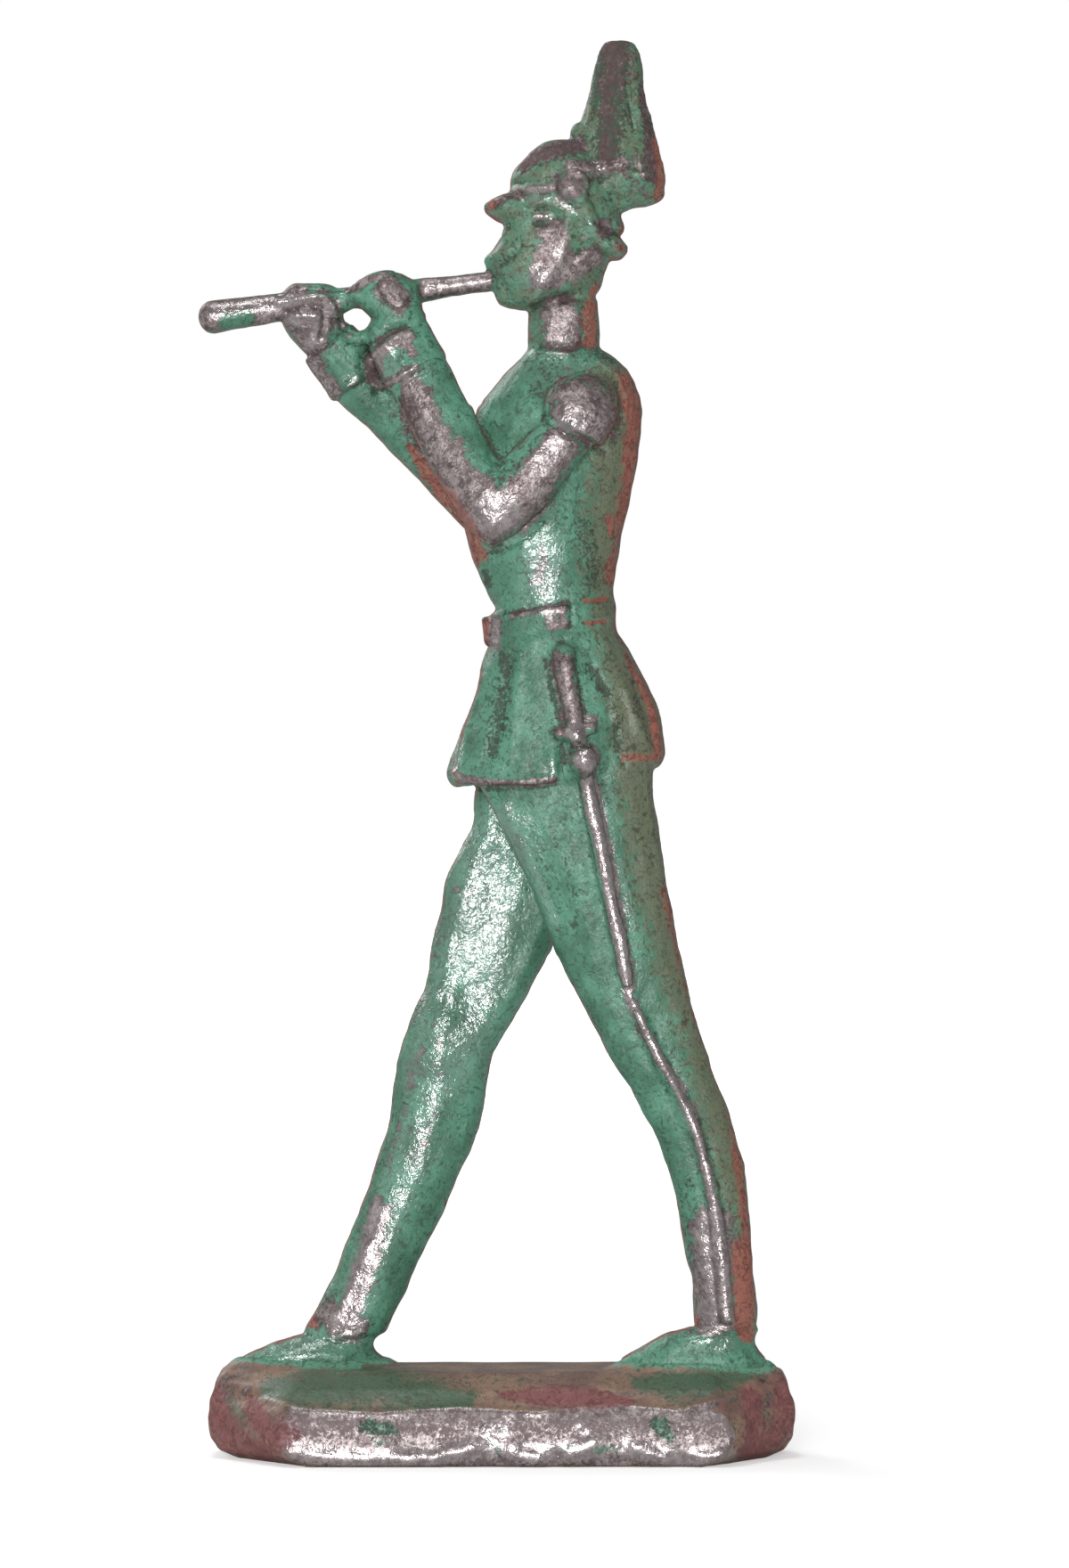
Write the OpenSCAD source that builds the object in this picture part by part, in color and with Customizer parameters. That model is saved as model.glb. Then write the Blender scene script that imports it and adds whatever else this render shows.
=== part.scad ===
// Cast-metal marching fifer: a semi-round toy soldier on an eight-sided base plate.
// The figure faces -X and its left side faces -Y. The mould parts on the plane Y = 0.
// Heights are measured from the underside of the base plate. Millimetres.

/* [Base plate] */
// Length of the base plate
base_l = 27.6; // [26:0.5:34]
// Depth of the base plate
base_d = 11.5; // [9:0.5:16]
// Height of the base plate at its rim
base_edge_h = 2.5; // [2:0.1:3]
// Rise of the ground from the rim up to its crown
base_rise = 1.7; // [1:0.1:2.5]
// Length of the corner chamfer along the base
chamfer_l = 3.6; // [2:0.2:5]
// Depth of the corner chamfer across the base
chamfer_d = 4.3; // [2:0.1:4.4]

/* [Legs] */
// Height from the ground to the hem of the tunic
leg_h = 27.8; // [24:0.5:32]
// How far the rear ankle stands behind the middle of the base
rear_step = 10.5; // [9:0.5:11]
// How far the front ankle stands ahead of the middle of the base
front_step = 7.3; // [6:0.5:9]
// Rear thigh from front to back, at the hem
rear_thigh_l = 8.2; // [7:0.2:9]
// Front thigh from front to back, at the hem
front_thigh_l = 6.3; // [5:0.2:7]
// Thickness of a thigh from side to side, at the hem
thigh_w = 3.4; // [3:0.1:3.5]
// Length of a boot
foot_l = 7.1; // [6:0.1:7.6]
// Width of a boot
foot_w = 3.2; // [2.6:0.1:4]
// Height of a boot up to the trouser end
foot_h = 1.4; // [1.2:0.05:1.8]
// Width of the raised piping on the trouser seam
piping_d = 0.55; // [0.4:0.05:0.8]

/* [Tunic] */
// Height of the tunic skirt from its hem to the belt
skirt_h = 6.8; // [5:0.1:8]
// Hem of the tunic skirt from front to back
hem_l = 10.4; // [9:0.2:12]
// Hem of the tunic skirt from side to side
hem_w = 6.2; // [5.6:0.1:7.5]
// Height of the waist belt
belt_h = 1.3; // [1:0.1:1.8]
// How far the waist belt stands out from the tunic
belt_t = 0.16; // [0.1:0.02:0.3]
// Width and height of the belt buckle
buckle_w = 1.3; // [0.9:0.1:1.6]
// Height of the tunic body from belt to collar
torso_h = 12.1; // [11:0.2:13.4]
// Chest from front to back
chest_l = 8.1; // [7:0.1:9]
// Chest from side to side
chest_w = 5.9; // [5.4:0.1:6.5]
// Height of the stand collar
collar_h = 2.1; // [1.6:0.1:2.6]
// Stand collar from front to back
collar_l = 3.3; // [3:0.05:3.7]
// Stand collar from side to side
collar_w = 3; // [2.6:0.1:3.4]

/* [Head and helmet] */
// Height of the head from the collar to the helmet rim
head_h = 4.2; // [4:0.1:5]
// Head from front to back
head_l = 5.7; // [5:0.1:6.2]
// Head from side to side
head_w = 4.2; // [3.8:0.1:4.6]
// Height of the helmet shell above its rim
helmet_h = 3.5; // [3:0.1:4.2]
// Helmet shell from front to back
helmet_l = 5.5; // [5:0.1:6.2]
// Helmet shell from side to side
helmet_w = 4.6; // [4.2:0.1:5]
// Length of the helmet peak, from under the rosettes to its tip
peak_l = 3.2; // [2.6:0.1:3.6]
// Thickness of the helmet peak
peak_t = 0.45; // [0.35:0.05:0.7]
// Length of the neck guard, from inside the rim to its tip
guard_l = 2.6; // [2.2:0.1:3.2]
// Thickness of the neck guard
guard_t = 0.7; // [0.5:0.05:0.9]
// Diameter of a helmet rosette
rosette_d = 1.45; // [1:0.05:1.8]
// Width of a chin strap
strap_w = 0.7; // [0.5:0.05:0.9]
// Height of the plume
plume_h = 8.2; // [6:0.1:10]
// Plume from front to back at its fullest
plume_l = 4.6; // [3.6:0.1:5]
// Plume from side to side at its fullest
plume_w = 3.1; // [2.4:0.1:3.8]
// Diameter of the plume socket
socket_d = 1; // [0.8:0.1:1.4]

/* [Arms and fife] */
// Profile thickness of an upper arm
upper_arm_l = 2.8; // [2.6:0.1:3]
// Profile thickness of a forearm
forearm_l = 2.8; // [2.5:0.1:3]
// Length of a sleeve cuff
cuff_h = 2.3; // [1.8:0.1:2.5]
// How far a sleeve cuff stands out from the sleeve
cuff_t = 0.18; // [0.1:0.02:0.3]
// Breadth of a hand
hand_l = 2.6; // [2.2:0.1:3]
// How far the arms stand out from the parting plane
arm_w = 4.4; // [4.1:0.1:4.8]
// Profile width of a shoulder wing
wing_l = 3.3; // [3.1:0.1:3.8]
// Length of the fife
fife_l = 13.3; // [12:0.1:15]
// Diameter of the fife at its far end
fife_far_d = 1.5; // [1.1:0.05:1.6]
// Diameter of the fife at the mouth
fife_mouth_d = 0.95; // [0.8:0.05:1.2]

/* [Side arm] */
// Length of the hilt grip
grip_l = 2.9; // [2.4:0.1:3.4]
// Diameter of the hilt grip
grip_d = 0.95; // [0.7:0.05:1.2]
// Length of the crossguard
crossguard_l = 1.9; // [1.4:0.1:2.4]
// Length of the scabbard
scabbard_l = 12.2; // [9:0.2:13]
// Diameter of the scabbard
scabbard_d = 0.8; // [0.6:0.05:1.1]
// Diameter of the sword knot
knot_d = 1.25; // [1:0.05:1.5]

/* [Hidden] */

paint = [0.28, 0.53, 0.43];
metal = [0.52, 0.46, 0.45];
earth = [0.42, 0.33, 0.27];

// Sides of the body, as signs along Y
function side_sign(name) = name == "left" ? -1 : 1;
left = side_sign("left");
right = side_sign("right");

// Number of flats round a full body form, round a slim form, and round a small bead
body_sides = 24;
slim_sides = 16;
bead_sides = 10;

// Heights of the levels that the figure is stacked on
ground_z = base_edge_h + base_rise;
hem_z = ground_z + leg_h;
waist_z = hem_z + skirt_h;
torso_z = waist_z + belt_h;
collar_z = torso_z + torso_h;
head_z = collar_z + collar_h;
rim_z = head_z + head_h;
crown_z = rim_z + helmet_h;

// The body's line: how far behind the middle of the base each level stands
hem_x_share = 0.25;
hem_x = hem_x_share * hem_l;
waist_x = hem_x - 0.016 * hem_l;
collar_x = waist_x + 0.06 * chest_l;
rim_x = collar_x + 0.025 * head_l;

// Tilts of the planes where the pieces meet, front edge to back edge, in degrees
hem_lean = 5;
waist_lean = 7;
torso_lean = 6;
head_lean = 8;
rim_lean = -19;

// A row that places one section is [x, y, z, half profile, half thickness, lean, inner reach].
// A table of shares holds the same columns, in shares of an origin, a span and a girth.
function placed(shares, origin, span, girth) = [
    for (s = shares) [
        origin.x + s[0] * span.x, origin.y + s[1] * span.y, origin.z + s[2] * span.z,
        s[3] * girth.x / 2, s[4] * girth.y / 2, s[5], s[6] * girth.y / 2
    ]
];

// The same rows on the other side of the parting plane
function mirrored(rows, side) = [for (r = rows) [r[0], side * r[1], r[2], r[3], r[4], r[5], r[6]]];

// The section at station s of a table, on a smooth curve through its rows
function station(rows, s) =
    let (
        last = len(rows) - 1,
        i = min(floor(s), last - 1),
        t = s - i,
        a = rows[max(i - 1, 0)],
        b = rows[i],
        c = rows[i + 1],
        d = rows[min(i + 2, last)]
    )
    b + t * ((c - a) + t * ((2 * a - 5 * b + 4 * c - d) + t * (3 * b - a - 3 * c + d))) / 2;

// A signed power, which squares off an ellipse when its exponent is under 1
function bulge(v, squareness) = sign(v) * pow(abs(v), squareness);

// The direction square to a section, from its lean
function facing(lean) = [-sin(lean), 0, cos(lean)];

// The points round one section. A form on one side of the parting plane, left or right, is
// held back from the other side by its inner reach.
function ring(row, sides, squareness, ripple, waves, side) = [
    for (i = [0 : sides - 1])
        let (
            a = 360 * i / sides,
            k = 1 + ripple * cos(waves * a),
            u = k * row[3] * bulge(cos(a), squareness),
            v = row[1] + k * row[4] * bulge(sin(a), squareness),
            y = side == 0 ? v : side * max(side * v, -row[6])
        )
        [row[0] + u * cos(row[5]), y, row[2] + u * sin(row[5])]
];

function mean(points) = [for (k = [0 : 2]) [for (p = points) p[k]] * [for (p = points) 1] / len(points)];

// A closed skin over rings that climb, with a fan on each end
module skin(rings) {
    n = len(rings[0]);
    m = len(rings);
    points = concat([for (r = rings) each r], [mean(rings[0]), mean(rings[m - 1])]);
    sides = [
        for (j = [0 : m - 2], i = [0 : n - 1])
            let (a = j * n + i, b = j * n + (i + 1) % n)
            each [[a, b + n, b], [a, a + n, b + n]]
    ];
    foot = [for (i = [0 : n - 1]) [m * n, i, (i + 1) % n]];
    top = [for (i = [0 : n - 1]) [m * n + 1, (m - 1) * n + (i + 1) % n, (m - 1) * n + i]];
    polyhedron(points, concat(sides, foot, top));
}

// A loft through the rows from one station to another
module loft(rows, from = 0, to = undef, steps = 10, sides = body_sides, squareness = 0.9,
            ripple = 0, waves = 0, side = 0) {
    end = is_undef(to) ? len(rows) - 1 : to;
    first = station(rows, from);
    next = station(rows, from + (end - from) / steps);
    climbs = [for (k = [0 : 2]) next[k] - first[k]] * facing(first[5]) > 0;
    skin([
        for (k = [0 : steps])
            ring(station(rows, climbs ? from + (end - from) * k / steps : end - (end - from) * k / steps),
                 sides, squareness, ripple, waves, side)
    ]);
}

// Puts a turned child, which stands on +Z, on the line from one point to another
module along(from, to) {
    d = to - from;
    translate(from)
        rotate([0, atan2(norm([d.x, d.y]), d.z), atan2(d.y, d.x)])
            children();
}

// The eight corners of the base plate at one height, moved in by an inset
function octagon(half_l, half_d, cut_l, cut_d, z) = [
    [half_l, -half_d + cut_d, z], [half_l, half_d - cut_d, z], [half_l - cut_l, half_d, z],
    [-half_l + cut_l, half_d, z], [-half_l, half_d - cut_d, z], [-half_l, -half_d + cut_d, z],
    [-half_l + cut_l, -half_d, z], [half_l - cut_l, -half_d, z]
];

// Each level of the base plate: length share, depth share, height, and share of the chamfer's depth
base_levels = [
    [0.9, 0.965, 0, 1],
    [0.965, 0.99, 0.16 * base_edge_h, 1],
    [0.995, 1, 0.4 * base_edge_h, 1],
    [1, 0.985, 0.8 * base_edge_h, 1],
    [0.995, 0.94, base_edge_h, 1],
    [0.978, 0.72, base_edge_h + 0.6 * base_rise, 0.72],
    [0.958, 0.54, base_edge_h + 0.88 * base_rise, 0.52],
    [0.925, 0.43, base_edge_h + base_rise, 0.42]
];

module base_plate() {
    color(earth)
        skin([
            for (level = base_levels)
                octagon(level[0] * base_l / 2, level[1] * base_d / 2, chamfer_l, level[3] * chamfer_d, level[2])
        ]);
}

// Columns of every table: x, y, z, profile, thickness, lean, inner reach
rear_leg_shares = [
    [0.38, -0.34, 0.885, 0.84, 0.99, 2, 0],
    [0.475, -0.34, 0.77, 0.75, 0.98, 0, 0],
    [0.575, -0.33, 0.645, 0.69, 0.95, -4, 0.05],
    [0.706, -0.31, 0.525, 0.6, 0.88, -8, 0.3],
    [0.862, -0.28, 0.405, 0.49, 0.84, -6, 1],
    [0.94, -0.25, 0.285, 0.41, 0.8, -3, 1],
    [0.985, -0.23, 0.165, 0.37, 0.75, 0, 1]
];
front_leg_shares = [
    [0.12, -0.34, 0.868, 0.95, 0.99, 2, 0],
    [-0.002, -0.34, 0.765, 0.94, 0.98, 2, 0],
    [-0.158, -0.33, 0.645, 0.86, 0.95, 4, 0.05],
    [-0.362, -0.31, 0.525, 0.72, 0.88, 4, 0.3],
    [-0.443, -0.28, 0.405, 0.706, 0.84, 3, 1],
    [-0.616, -0.25, 0.285, 0.653, 0.8, 3, 1],
    [-0.817, -0.23, 0.165, 0.613, 0.75, 1, 1]
];
hem_leg_share = [-0.34, 1];
ankle_share = [1.01, -0.22, 0.72];
// The rear trouser end sits higher on its boot than the front one
rear_lift_share = 1.35;
front_lift_share = 1.1;
// The first and last stations of a leg are its hem and its ankle, and its knee is halfway
ankle_station = len(rear_leg_shares) + 1;
knee_station = ankle_station / 2;

// A height on the plane of the hem, which leans from front to back
function hem_at(x) = hem_z + (x - hem_x) * tan(hem_lean);

function leg_rows(shares, step, top_x, thigh_l, low_share, lift) = concat(
    [[top_x, hem_leg_share[0] * thigh_w, hem_at(top_x), thigh_l / 2, thigh_w / 2, hem_lean, 0]],
    placed(shares, [0, 0, ground_z], [abs(step), thigh_w, leg_h], [thigh_l, thigh_w]),
    [[ankle_share[0] * step, ankle_share[1] * thigh_w, ground_z + lift * foot_h, low_share * thigh_l / 2,
      ankle_share[2] * thigh_w / 2, 0, thigh_w / 2]]
);
rear_leg = leg_rows(rear_leg_shares, rear_step, 0.28 * rear_step, rear_thigh_l, 0.365,
                    rear_lift_share);
front_leg = mirrored(leg_rows(front_leg_shares, -front_step, 0.26 * front_step, front_thigh_l, 0.6,
                              front_lift_share), -1);

boot_shares = [
    [-0.215, 0, 0, 0.99, 0.96, 0, 0],
    [-0.22, 0, 0.2, 0.99, 1, 0, 0],
    [-0.2, 0, 0.42, 0.84, 0.94, 0, 0],
    [-0.13, 0, 0.72, 0.64, 0.84, 0, 0]
];
boot_top_share = 0.82;
boot_top_l_share = 0.5;
// A boot, from the ground up to the trouser end
module boot(leg) {
    ankle = leg[ankle_station];
    loft(concat(
        placed(boot_shares, [ankle.x, ankle.y, ground_z], [foot_l, foot_w, ankle.z - ground_z], [foot_l, foot_w]),
        [[ankle.x, ankle.y, ankle.z, boot_top_l_share * foot_l / 2, boot_top_share * foot_w / 2, 0, 0]]
    ), steps = 6, sides = slim_sides);
}

module right_boot() {
    color(paint)
        boot(front_leg);
}

module left_boot() {
    color(paint)
        boot(rear_leg);
}

module right_shin() {
    color(paint)
        loft(front_leg, knee_station, ankle_station, steps = 8, sides = slim_sides, side = right);
}

module left_shin() {
    color(metal)
        loft(rear_leg, knee_station, ankle_station, steps = 8, sides = slim_sides, side = left);
}

module right_thigh() {
    color(paint)
        loft(front_leg, 0, knee_station, steps = 8, sides = slim_sides, side = right);
}

module left_thigh() {
    color(paint)
        loft(rear_leg, 0, knee_station, steps = 8, sides = slim_sides, side = left);
}

// The raised piping on the outer seam of a trouser leg, from one share of its length to another
module piping(leg, side, from, to, steps) {
    difference() {
        skin([
            for (k = [0 : steps])
                let (s = station(leg, ankle_station * (to + (from - to) * k / steps)))
                ring([s[0], s[1] + side * s[4], s[2], piping_d / 2, piping_d / 2, 0, 0], bead_sides, 1, 0, 0, 0)
        ]);
        loft(leg, 0, knee_station, steps = 8, sides = slim_sides, side = side);
        loft(leg, knee_station, ankle_station, steps = 8, sides = slim_sides, side = side);
    }
}

// Where the piping starts and ends, in shares of the leg from hem to ankle
right_piping_top_share = 0.06;
left_piping_top_share = 0.41;
piping_low_share = 0.97;

module right_piping() {
    color(paint)
        piping(front_leg, right, right_piping_top_share, piping_low_share, 16);
}

module left_piping() {
    color(paint)
        piping(rear_leg, left, left_piping_top_share, piping_low_share, 10);
}

skirt_shares = [
    [0, 0, 0.055, 0.985, 1, 5, 0],
    [0, 0, 0.15, 0.985, 0.98, 6, 0],
    [0.012, 0, 0.4, 0.895, 0.93, 7, 0],
    [0.008, 0, 0.66, 0.745, 0.87, 7, 0],
    [-0.01, 0, 0.86, 0.655, 0.85, 7, 0]
];
// The hem draws in under its lip at the front and the back
hem_lip_share = 0.925;
waist_l = 0.545 * hem_l;
waist_w = 0.84 * hem_w;
belt_row = [waist_x, 0, waist_z, waist_l / 2, waist_w / 2, waist_lean, 0];
skirt_rows = concat(
    [[hem_x, 0, hem_z, hem_lip_share * hem_l / 2, hem_w / 2, hem_lean, 0]],
    placed(skirt_shares, [hem_x, 0, hem_z], [hem_l, hem_w, skirt_h], [hem_l, hem_w]),
    [belt_row]
);

module skirt_form() {
    loft(skirt_rows, steps = 10, ripple = 0.012, waves = 8);
}

module tunic_skirt() {
    color(paint)
        skirt_form();
}

belt_top = [waist_x, 0, torso_z, waist_l / 2, waist_w / 2, torso_lean, 0];

module belt_form() {
    grown = [0, 0, 0, belt_t, belt_t, 0, 0];
    loft([belt_row + grown, belt_top + grown], steps = 1);
}

module waist_belt() {
    color(metal)
        belt_form();
}

torso_shares = [
    [-0.02, 0, 0.1, 0.77, 0.86, 6, 0],
    [-0.045, 0, 0.26, 0.905, 0.93, 4, 0],
    [-0.035, 0, 0.43, 0.975, 0.98, 0, 0],
    [0.002, 0, 0.6, 0.985, 1, -3, 0],
    [0.045, 0, 0.76, 0.95, 0.97, -4, 0],
    [0.115, 0, 0.88, 0.76, 0.84, -8, 0],
    [0.12, 0, 0.955, 0.59, 0.64, -6, 0]
];
torso_rows = concat(
    [belt_top],
    placed(torso_shares, [waist_x, 0, torso_z], [chest_l, chest_w, torso_h], [chest_l, chest_w]),
    [[collar_x, 0, collar_z, collar_l / 2, collar_w / 2, 0, 0]]
);

module torso_form() {
    loft(torso_rows, steps = 14);
}

module tunic_body() {
    color(paint)
        torso_form();
}

buckle_l_share = 0.22;
buckle_drop_share = 0.12;

module belt_buckle() {
    color(metal)
        difference() {
            translate([waist_x - waist_l / 2 - belt_t, 0, waist_z + buckle_drop_share * belt_h])
                rotate([0, -waist_lean, 0])
                    rotate([0, 90, 0])
                        cylinder(h = 2 * buckle_l_share * buckle_w, d = buckle_w, center = true, $fn = 24);
            skirt_form();
            belt_form();
            torso_form();
        }
}

module tunic_collar() {
    grown = [0, 0, 0, belt_t, belt_t, 0, 0];
    foot = [collar_x, 0, collar_z, collar_l / 2, collar_w / 2, 0, 0];
    top = [collar_x, 0, head_z, collar_l / 2, collar_w / 2, head_lean, 0];
    color(metal)
        loft([foot, (foot + top) / 2 + grown / 3, top], steps = 4, sides = slim_sides);
}

head_shares = [
    [-0.115, 0, 0.05, 0.79, 0.7, 7, 0],
    [-0.13, 0, 0.16, 0.885, 0.8, 4, 0],
    [-0.13, 0, 0.4, 0.96, 0.95, -1, 0],
    [-0.08, 0, 0.62, 0.97, 1, -6, 0],
    [-0.015, 0, 0.82, 0.93, 1, -12, 0]
];
jaw_x_share = -0.05;
head_rows = concat(
    [[collar_x + jaw_x_share * head_l, 0, head_z + jaw_x_share * head_l * tan(head_lean),
      0.56 * head_l / 2, 0.55 * head_w / 2, head_lean, 0]],
    placed(head_shares, [collar_x, 0, head_z], [head_l, head_w, head_h], [head_l, head_w]),
    [[rim_x, 0, rim_z, 0.92 * head_l / 2, 0.98 * head_w / 2, rim_lean, 0]]
);

module head_form() {
    loft(head_rows, steps = 10);
}

nose_shares = [
    [-0.53, 0, 0.32, 0.16, 0.14, 0, 0],
    [-0.535, 0, 0.46, 0.22, 0.18, 0, 0],
    [-0.5, 0, 0.6, 0.16, 0.14, 0, 0],
    [-0.45, 0, 0.72, 0.1, 0.1, 0, 0]
];

module head() {
    color(metal)
        union() {
            head_form();
            loft(placed(nose_shares, [collar_x, 0, head_z], [head_l, head_w, head_h], [head_l, head_w]),
                 steps = 5, sides = bead_sides, squareness = 1);
        }
}

shell_shares = [
    [-0.01, 0, 0.3, 0.97, 0.95, -14, 0],
    [-0.022, 0, 0.62, 0.825, 0.82, -8, 0],
    [-0.035, 0, 0.86, 0.63, 0.62, -4, 0],
    [-0.035, 0, 0.97, 0.36, 0.38, 0, 0],
    [-0.035, 0, 1, 0.14, 0.16, 0, 0]
];
shell_rows = concat(
    [[rim_x, 0, rim_z, helmet_l / 2, helmet_w / 2, rim_lean, 0]],
    placed(shell_shares, [rim_x, 0, rim_z], [helmet_l, helmet_w, helmet_h], [helmet_l, helmet_w])
);

module shell_form() {
    loft(shell_rows, steps = 10, squareness = 1);
}

module helmet_shell() {
    color(paint)
        shell_form();
}

// Columns as before: these sections stand upright, so that their profile is a height
peak_shares = [
    [-1.17, 0, 0.09, 0.4, 0.36, -90, 0],
    [-1.06, 0, 0.085, 1.1, 0.66, -90, 0],
    [-0.92, 0, 0.08, 1.6, 0.86, -90, 0],
    [-0.74, 0, 0.07, 1.75, 0.86, -90, 0],
    [-0.5, 0, 0.06, 1.75, 0.7, -90, 0]
];
guard_shares = [
    [0.3, 0, -0.3, 1, 0.84, -90, 0],
    [0.62, 0, -0.38, 1, 0.9, -90, 0],
    [0.9, 0, -0.44, 0.9, 0.86, -90, 0],
    [1.02, 0, -0.46, 0.6, 0.68, -90, 0],
    [1.11, 0, -0.46, 0.2, 0.42, -90, 0]
];

module helmet_peak() {
    color(paint)
        difference() {
            loft(placed(peak_shares, [rim_x, 0, rim_z], [peak_l, helmet_w, helmet_h],
                        [2 * peak_t, helmet_w]), steps = 8, sides = slim_sides, squareness = 1);
            shell_form();
            head_form();
        }
}

module neck_guard() {
    color(paint)
        difference() {
            loft(placed(guard_shares, [rim_x, 0, rim_z], [guard_l, helmet_w, helmet_h],
                        [2 * guard_t, helmet_w]), steps = 8, sides = slim_sides, squareness = 1);
            shell_form();
            head_form();
        }
}

rosette_x_share = 0.06;
rosette_z_share = 0.36;

// A turned rosette on the side of the helmet: a disc with a boss
module rosette(side) {
    reach = helmet_w / 2 + 0.12 * rosette_d;
    difference() {
        translate([rim_x + rosette_x_share * helmet_l, 0, rim_z + rosette_z_share * helmet_h])
            rotate([-90 * side, 0, 0])
                union() {
                    cylinder(h = reach, d = rosette_d, $fn = 24);
                    cylinder(h = reach + 0.15 * rosette_d, d = 0.5 * rosette_d, $fn = 24);
                }
        shell_form();
        head_form();
    }
}

module right_rosette() {
    color(paint)
        rosette(right);
}

module left_rosette() {
    color(paint)
        rosette(left);
}

strap_shares = [
    [-0.24, 0.33, 0, 1, 1, 0, 0],
    [-0.16, 0.43, 0.22, 1, 1, 0, 0],
    [-0.07, 0.485, 0.45, 1, 1, 0, 0],
    [0.01, 0.5, 0.72, 1, 1, 0, 0],
    [0.05, 0.5, 1.05, 1, 1, 0, 0]
];

// A chin strap, from the jaw up to the rosette, standing out of the cheek
module chin_strap(side) {
    difference() {
        loft(mirrored(placed(strap_shares, [collar_x, 0, head_z], [head_l, head_w, head_h],
                             [strap_w, 0.55 * strap_w]), side),
             steps = 8, sides = bead_sides, squareness = 0.7);
        head_form();
        shell_form();
        rosette(side);
        helmet_guard_form();
    }
}

module helmet_guard_form() {
    loft(placed(guard_shares, [rim_x, 0, rim_z], [guard_l, helmet_w, helmet_h],
                [2 * guard_t, helmet_w]), steps = 8, sides = slim_sides, squareness = 1);
}

module right_chin_strap() {
    color(paint)
        chin_strap(right);
}

module left_chin_strap() {
    color(paint)
        chin_strap(left);
}

plume_shares = [
    [0.04, 0, 0.01, 0.3, 0.28, 4, 0],
    [0.03, 0, 0.07, 0.72, 0.7, 4, 0],
    [-0.005, 0, 0.17, 0.98, 1, 0, 0],
    [-0.015, 0, 0.3, 0.94, 0.97, 0, 0],
    [-0.012, 0, 0.44, 0.8, 0.84, 0, 0],
    [-0.008, 0, 0.58, 0.66, 0.72, 0, 0],
    [0, 0, 0.74, 0.54, 0.62, 0, 0],
    [0.012, 0, 0.88, 0.46, 0.5, 0, 0],
    [0.015, 0, 0.97, 0.36, 0.36, 0, 0],
    [0.015, 0, 1, 0.16, 0.14, 0, 0]
];
plume_x = rim_x + 0.435 * helmet_l;

module plume_form() {
    loft(placed(plume_shares, [plume_x, 0, rim_z], [plume_l, plume_w, plume_h], [plume_l, plume_w]),
         steps = 12, sides = 32, squareness = 1, ripple = 0.03, waves = 8);
}

module plume() {
    color(paint)
        difference() {
            plume_form();
            shell_form();
        }
}

// Where the socket's ball stands behind the middle of the helmet, and its lift over the crown
socket_x_share = 0.13;
socket_lift_share = 0.1;

socket_foot = [rim_x + socket_x_share * helmet_l, 0, crown_z - 0.5 * helmet_h];
socket_head = [rim_x + socket_x_share * helmet_l, 0, crown_z + socket_lift_share * helmet_h];

module plume_socket() {
    color(metal)
        difference() {
            along(socket_foot, socket_head)
                union() {
                    cylinder(h = norm(socket_head - socket_foot), d1 = 1.4 * socket_d, d2 = socket_d, $fn = 24);
                    translate([0, 0, norm(socket_head - socket_foot)])
                        sphere(d = socket_d, $fn = 24);
                }
            shell_form();
            plume_form();
        }
}

// The arms are placed from the parting plane and the belt's top, in shares of the chest
arm_origin = [0, 0, torso_z];
arm_span = [chest_l, arm_w, torso_h];
near_elbow_share = [-0.042, 0.66, 0.373, 1.31, 1, -93, 0];
far_elbow_share = [-0.078, 0.66, 0.373, 1.31, 1, -88, 0];
near_upper_shares = [
    near_elbow_share,
    [0.14, 0.66, 0.487, 1.04, 1, -50, 0],
    [0.321, 0.65, 0.62, 0.94, 0.97, -34, 0],
    [0.41, 0.64, 0.686, 0.96, 0.96, -30, 0]
];
far_upper_shares = [
    far_elbow_share,
    [0.12, 0.66, 0.487, 1.04, 1, -50, 0],
    [0.315, 0.65, 0.62, 0.94, 0.97, -34, 0],
    [0.41, 0.64, 0.686, 0.96, 0.96, -30, 0]
];
wing_shares = [
    [0.41, 0.63, 0.686, 0.98, 0.94, -30, 0],
    [0.465, 0.61, 0.775, 1.06, 0.92, -22, 0],
    [0.505, 0.52, 0.855, 0.8, 0.74, -14, 0],
    [0.525, 0.44, 0.9, 0.4, 0.4, -8, 0]
];
near_fore_shares = [
    [-0.48, 0.284, 0.893, 1.06, 0.9, -154, 0],
    [-0.275, 0.455, 0.63, 1.05, 0.96, -151, 0],
    [-0.13, 0.6, 0.46, 1.1, 1, -132, 0]
];
far_fore_shares = [
    [-0.828, 0.284, 0.884, 1.04, 0.9, -141, 0],
    [-0.57, 0.42, 0.716, 1, 0.96, -134, 0],
    [-0.249, 0.6, 0.494, 1.08, 1, -122, 0]
];
upper_girth = [upper_arm_l, upper_arm_l];
fore_girth = [forearm_l, forearm_l];

function upper_rows(shares, side) = mirrored(placed(shares, arm_origin, arm_span, upper_girth), side);
function fore_rows(shares, elbow_share, side) = mirrored(concat(
    placed(shares, arm_origin, arm_span, fore_girth),
    placed([elbow_share], arm_origin, arm_span, upper_girth)
), side);

left_upper = upper_rows(near_upper_shares, left);
right_upper = upper_rows(far_upper_shares, right);
left_fore = fore_rows(near_fore_shares, near_elbow_share, left);
right_fore = fore_rows(far_fore_shares, far_elbow_share, right);

module shoulder_wing(side) {
    difference() {
        loft(mirrored(placed(wing_shares, arm_origin, arm_span, [wing_l, wing_l]), side),
             steps = 7, sides = slim_sides, squareness = 0.95);
        torso_form();
    }
}

module right_shoulder_wing() {
    color(paint)
        shoulder_wing(right);
}

module left_shoulder_wing() {
    color(paint)
        shoulder_wing(left);
}

module upper_arm(rows) {
    difference() {
        loft(rows, steps = 7, sides = slim_sides);
        torso_form();
    }
}

module right_upper_arm() {
    color(paint)
        upper_arm(right_upper);
}

module left_upper_arm() {
    color(paint)
        upper_arm(left_upper);
}

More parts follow.
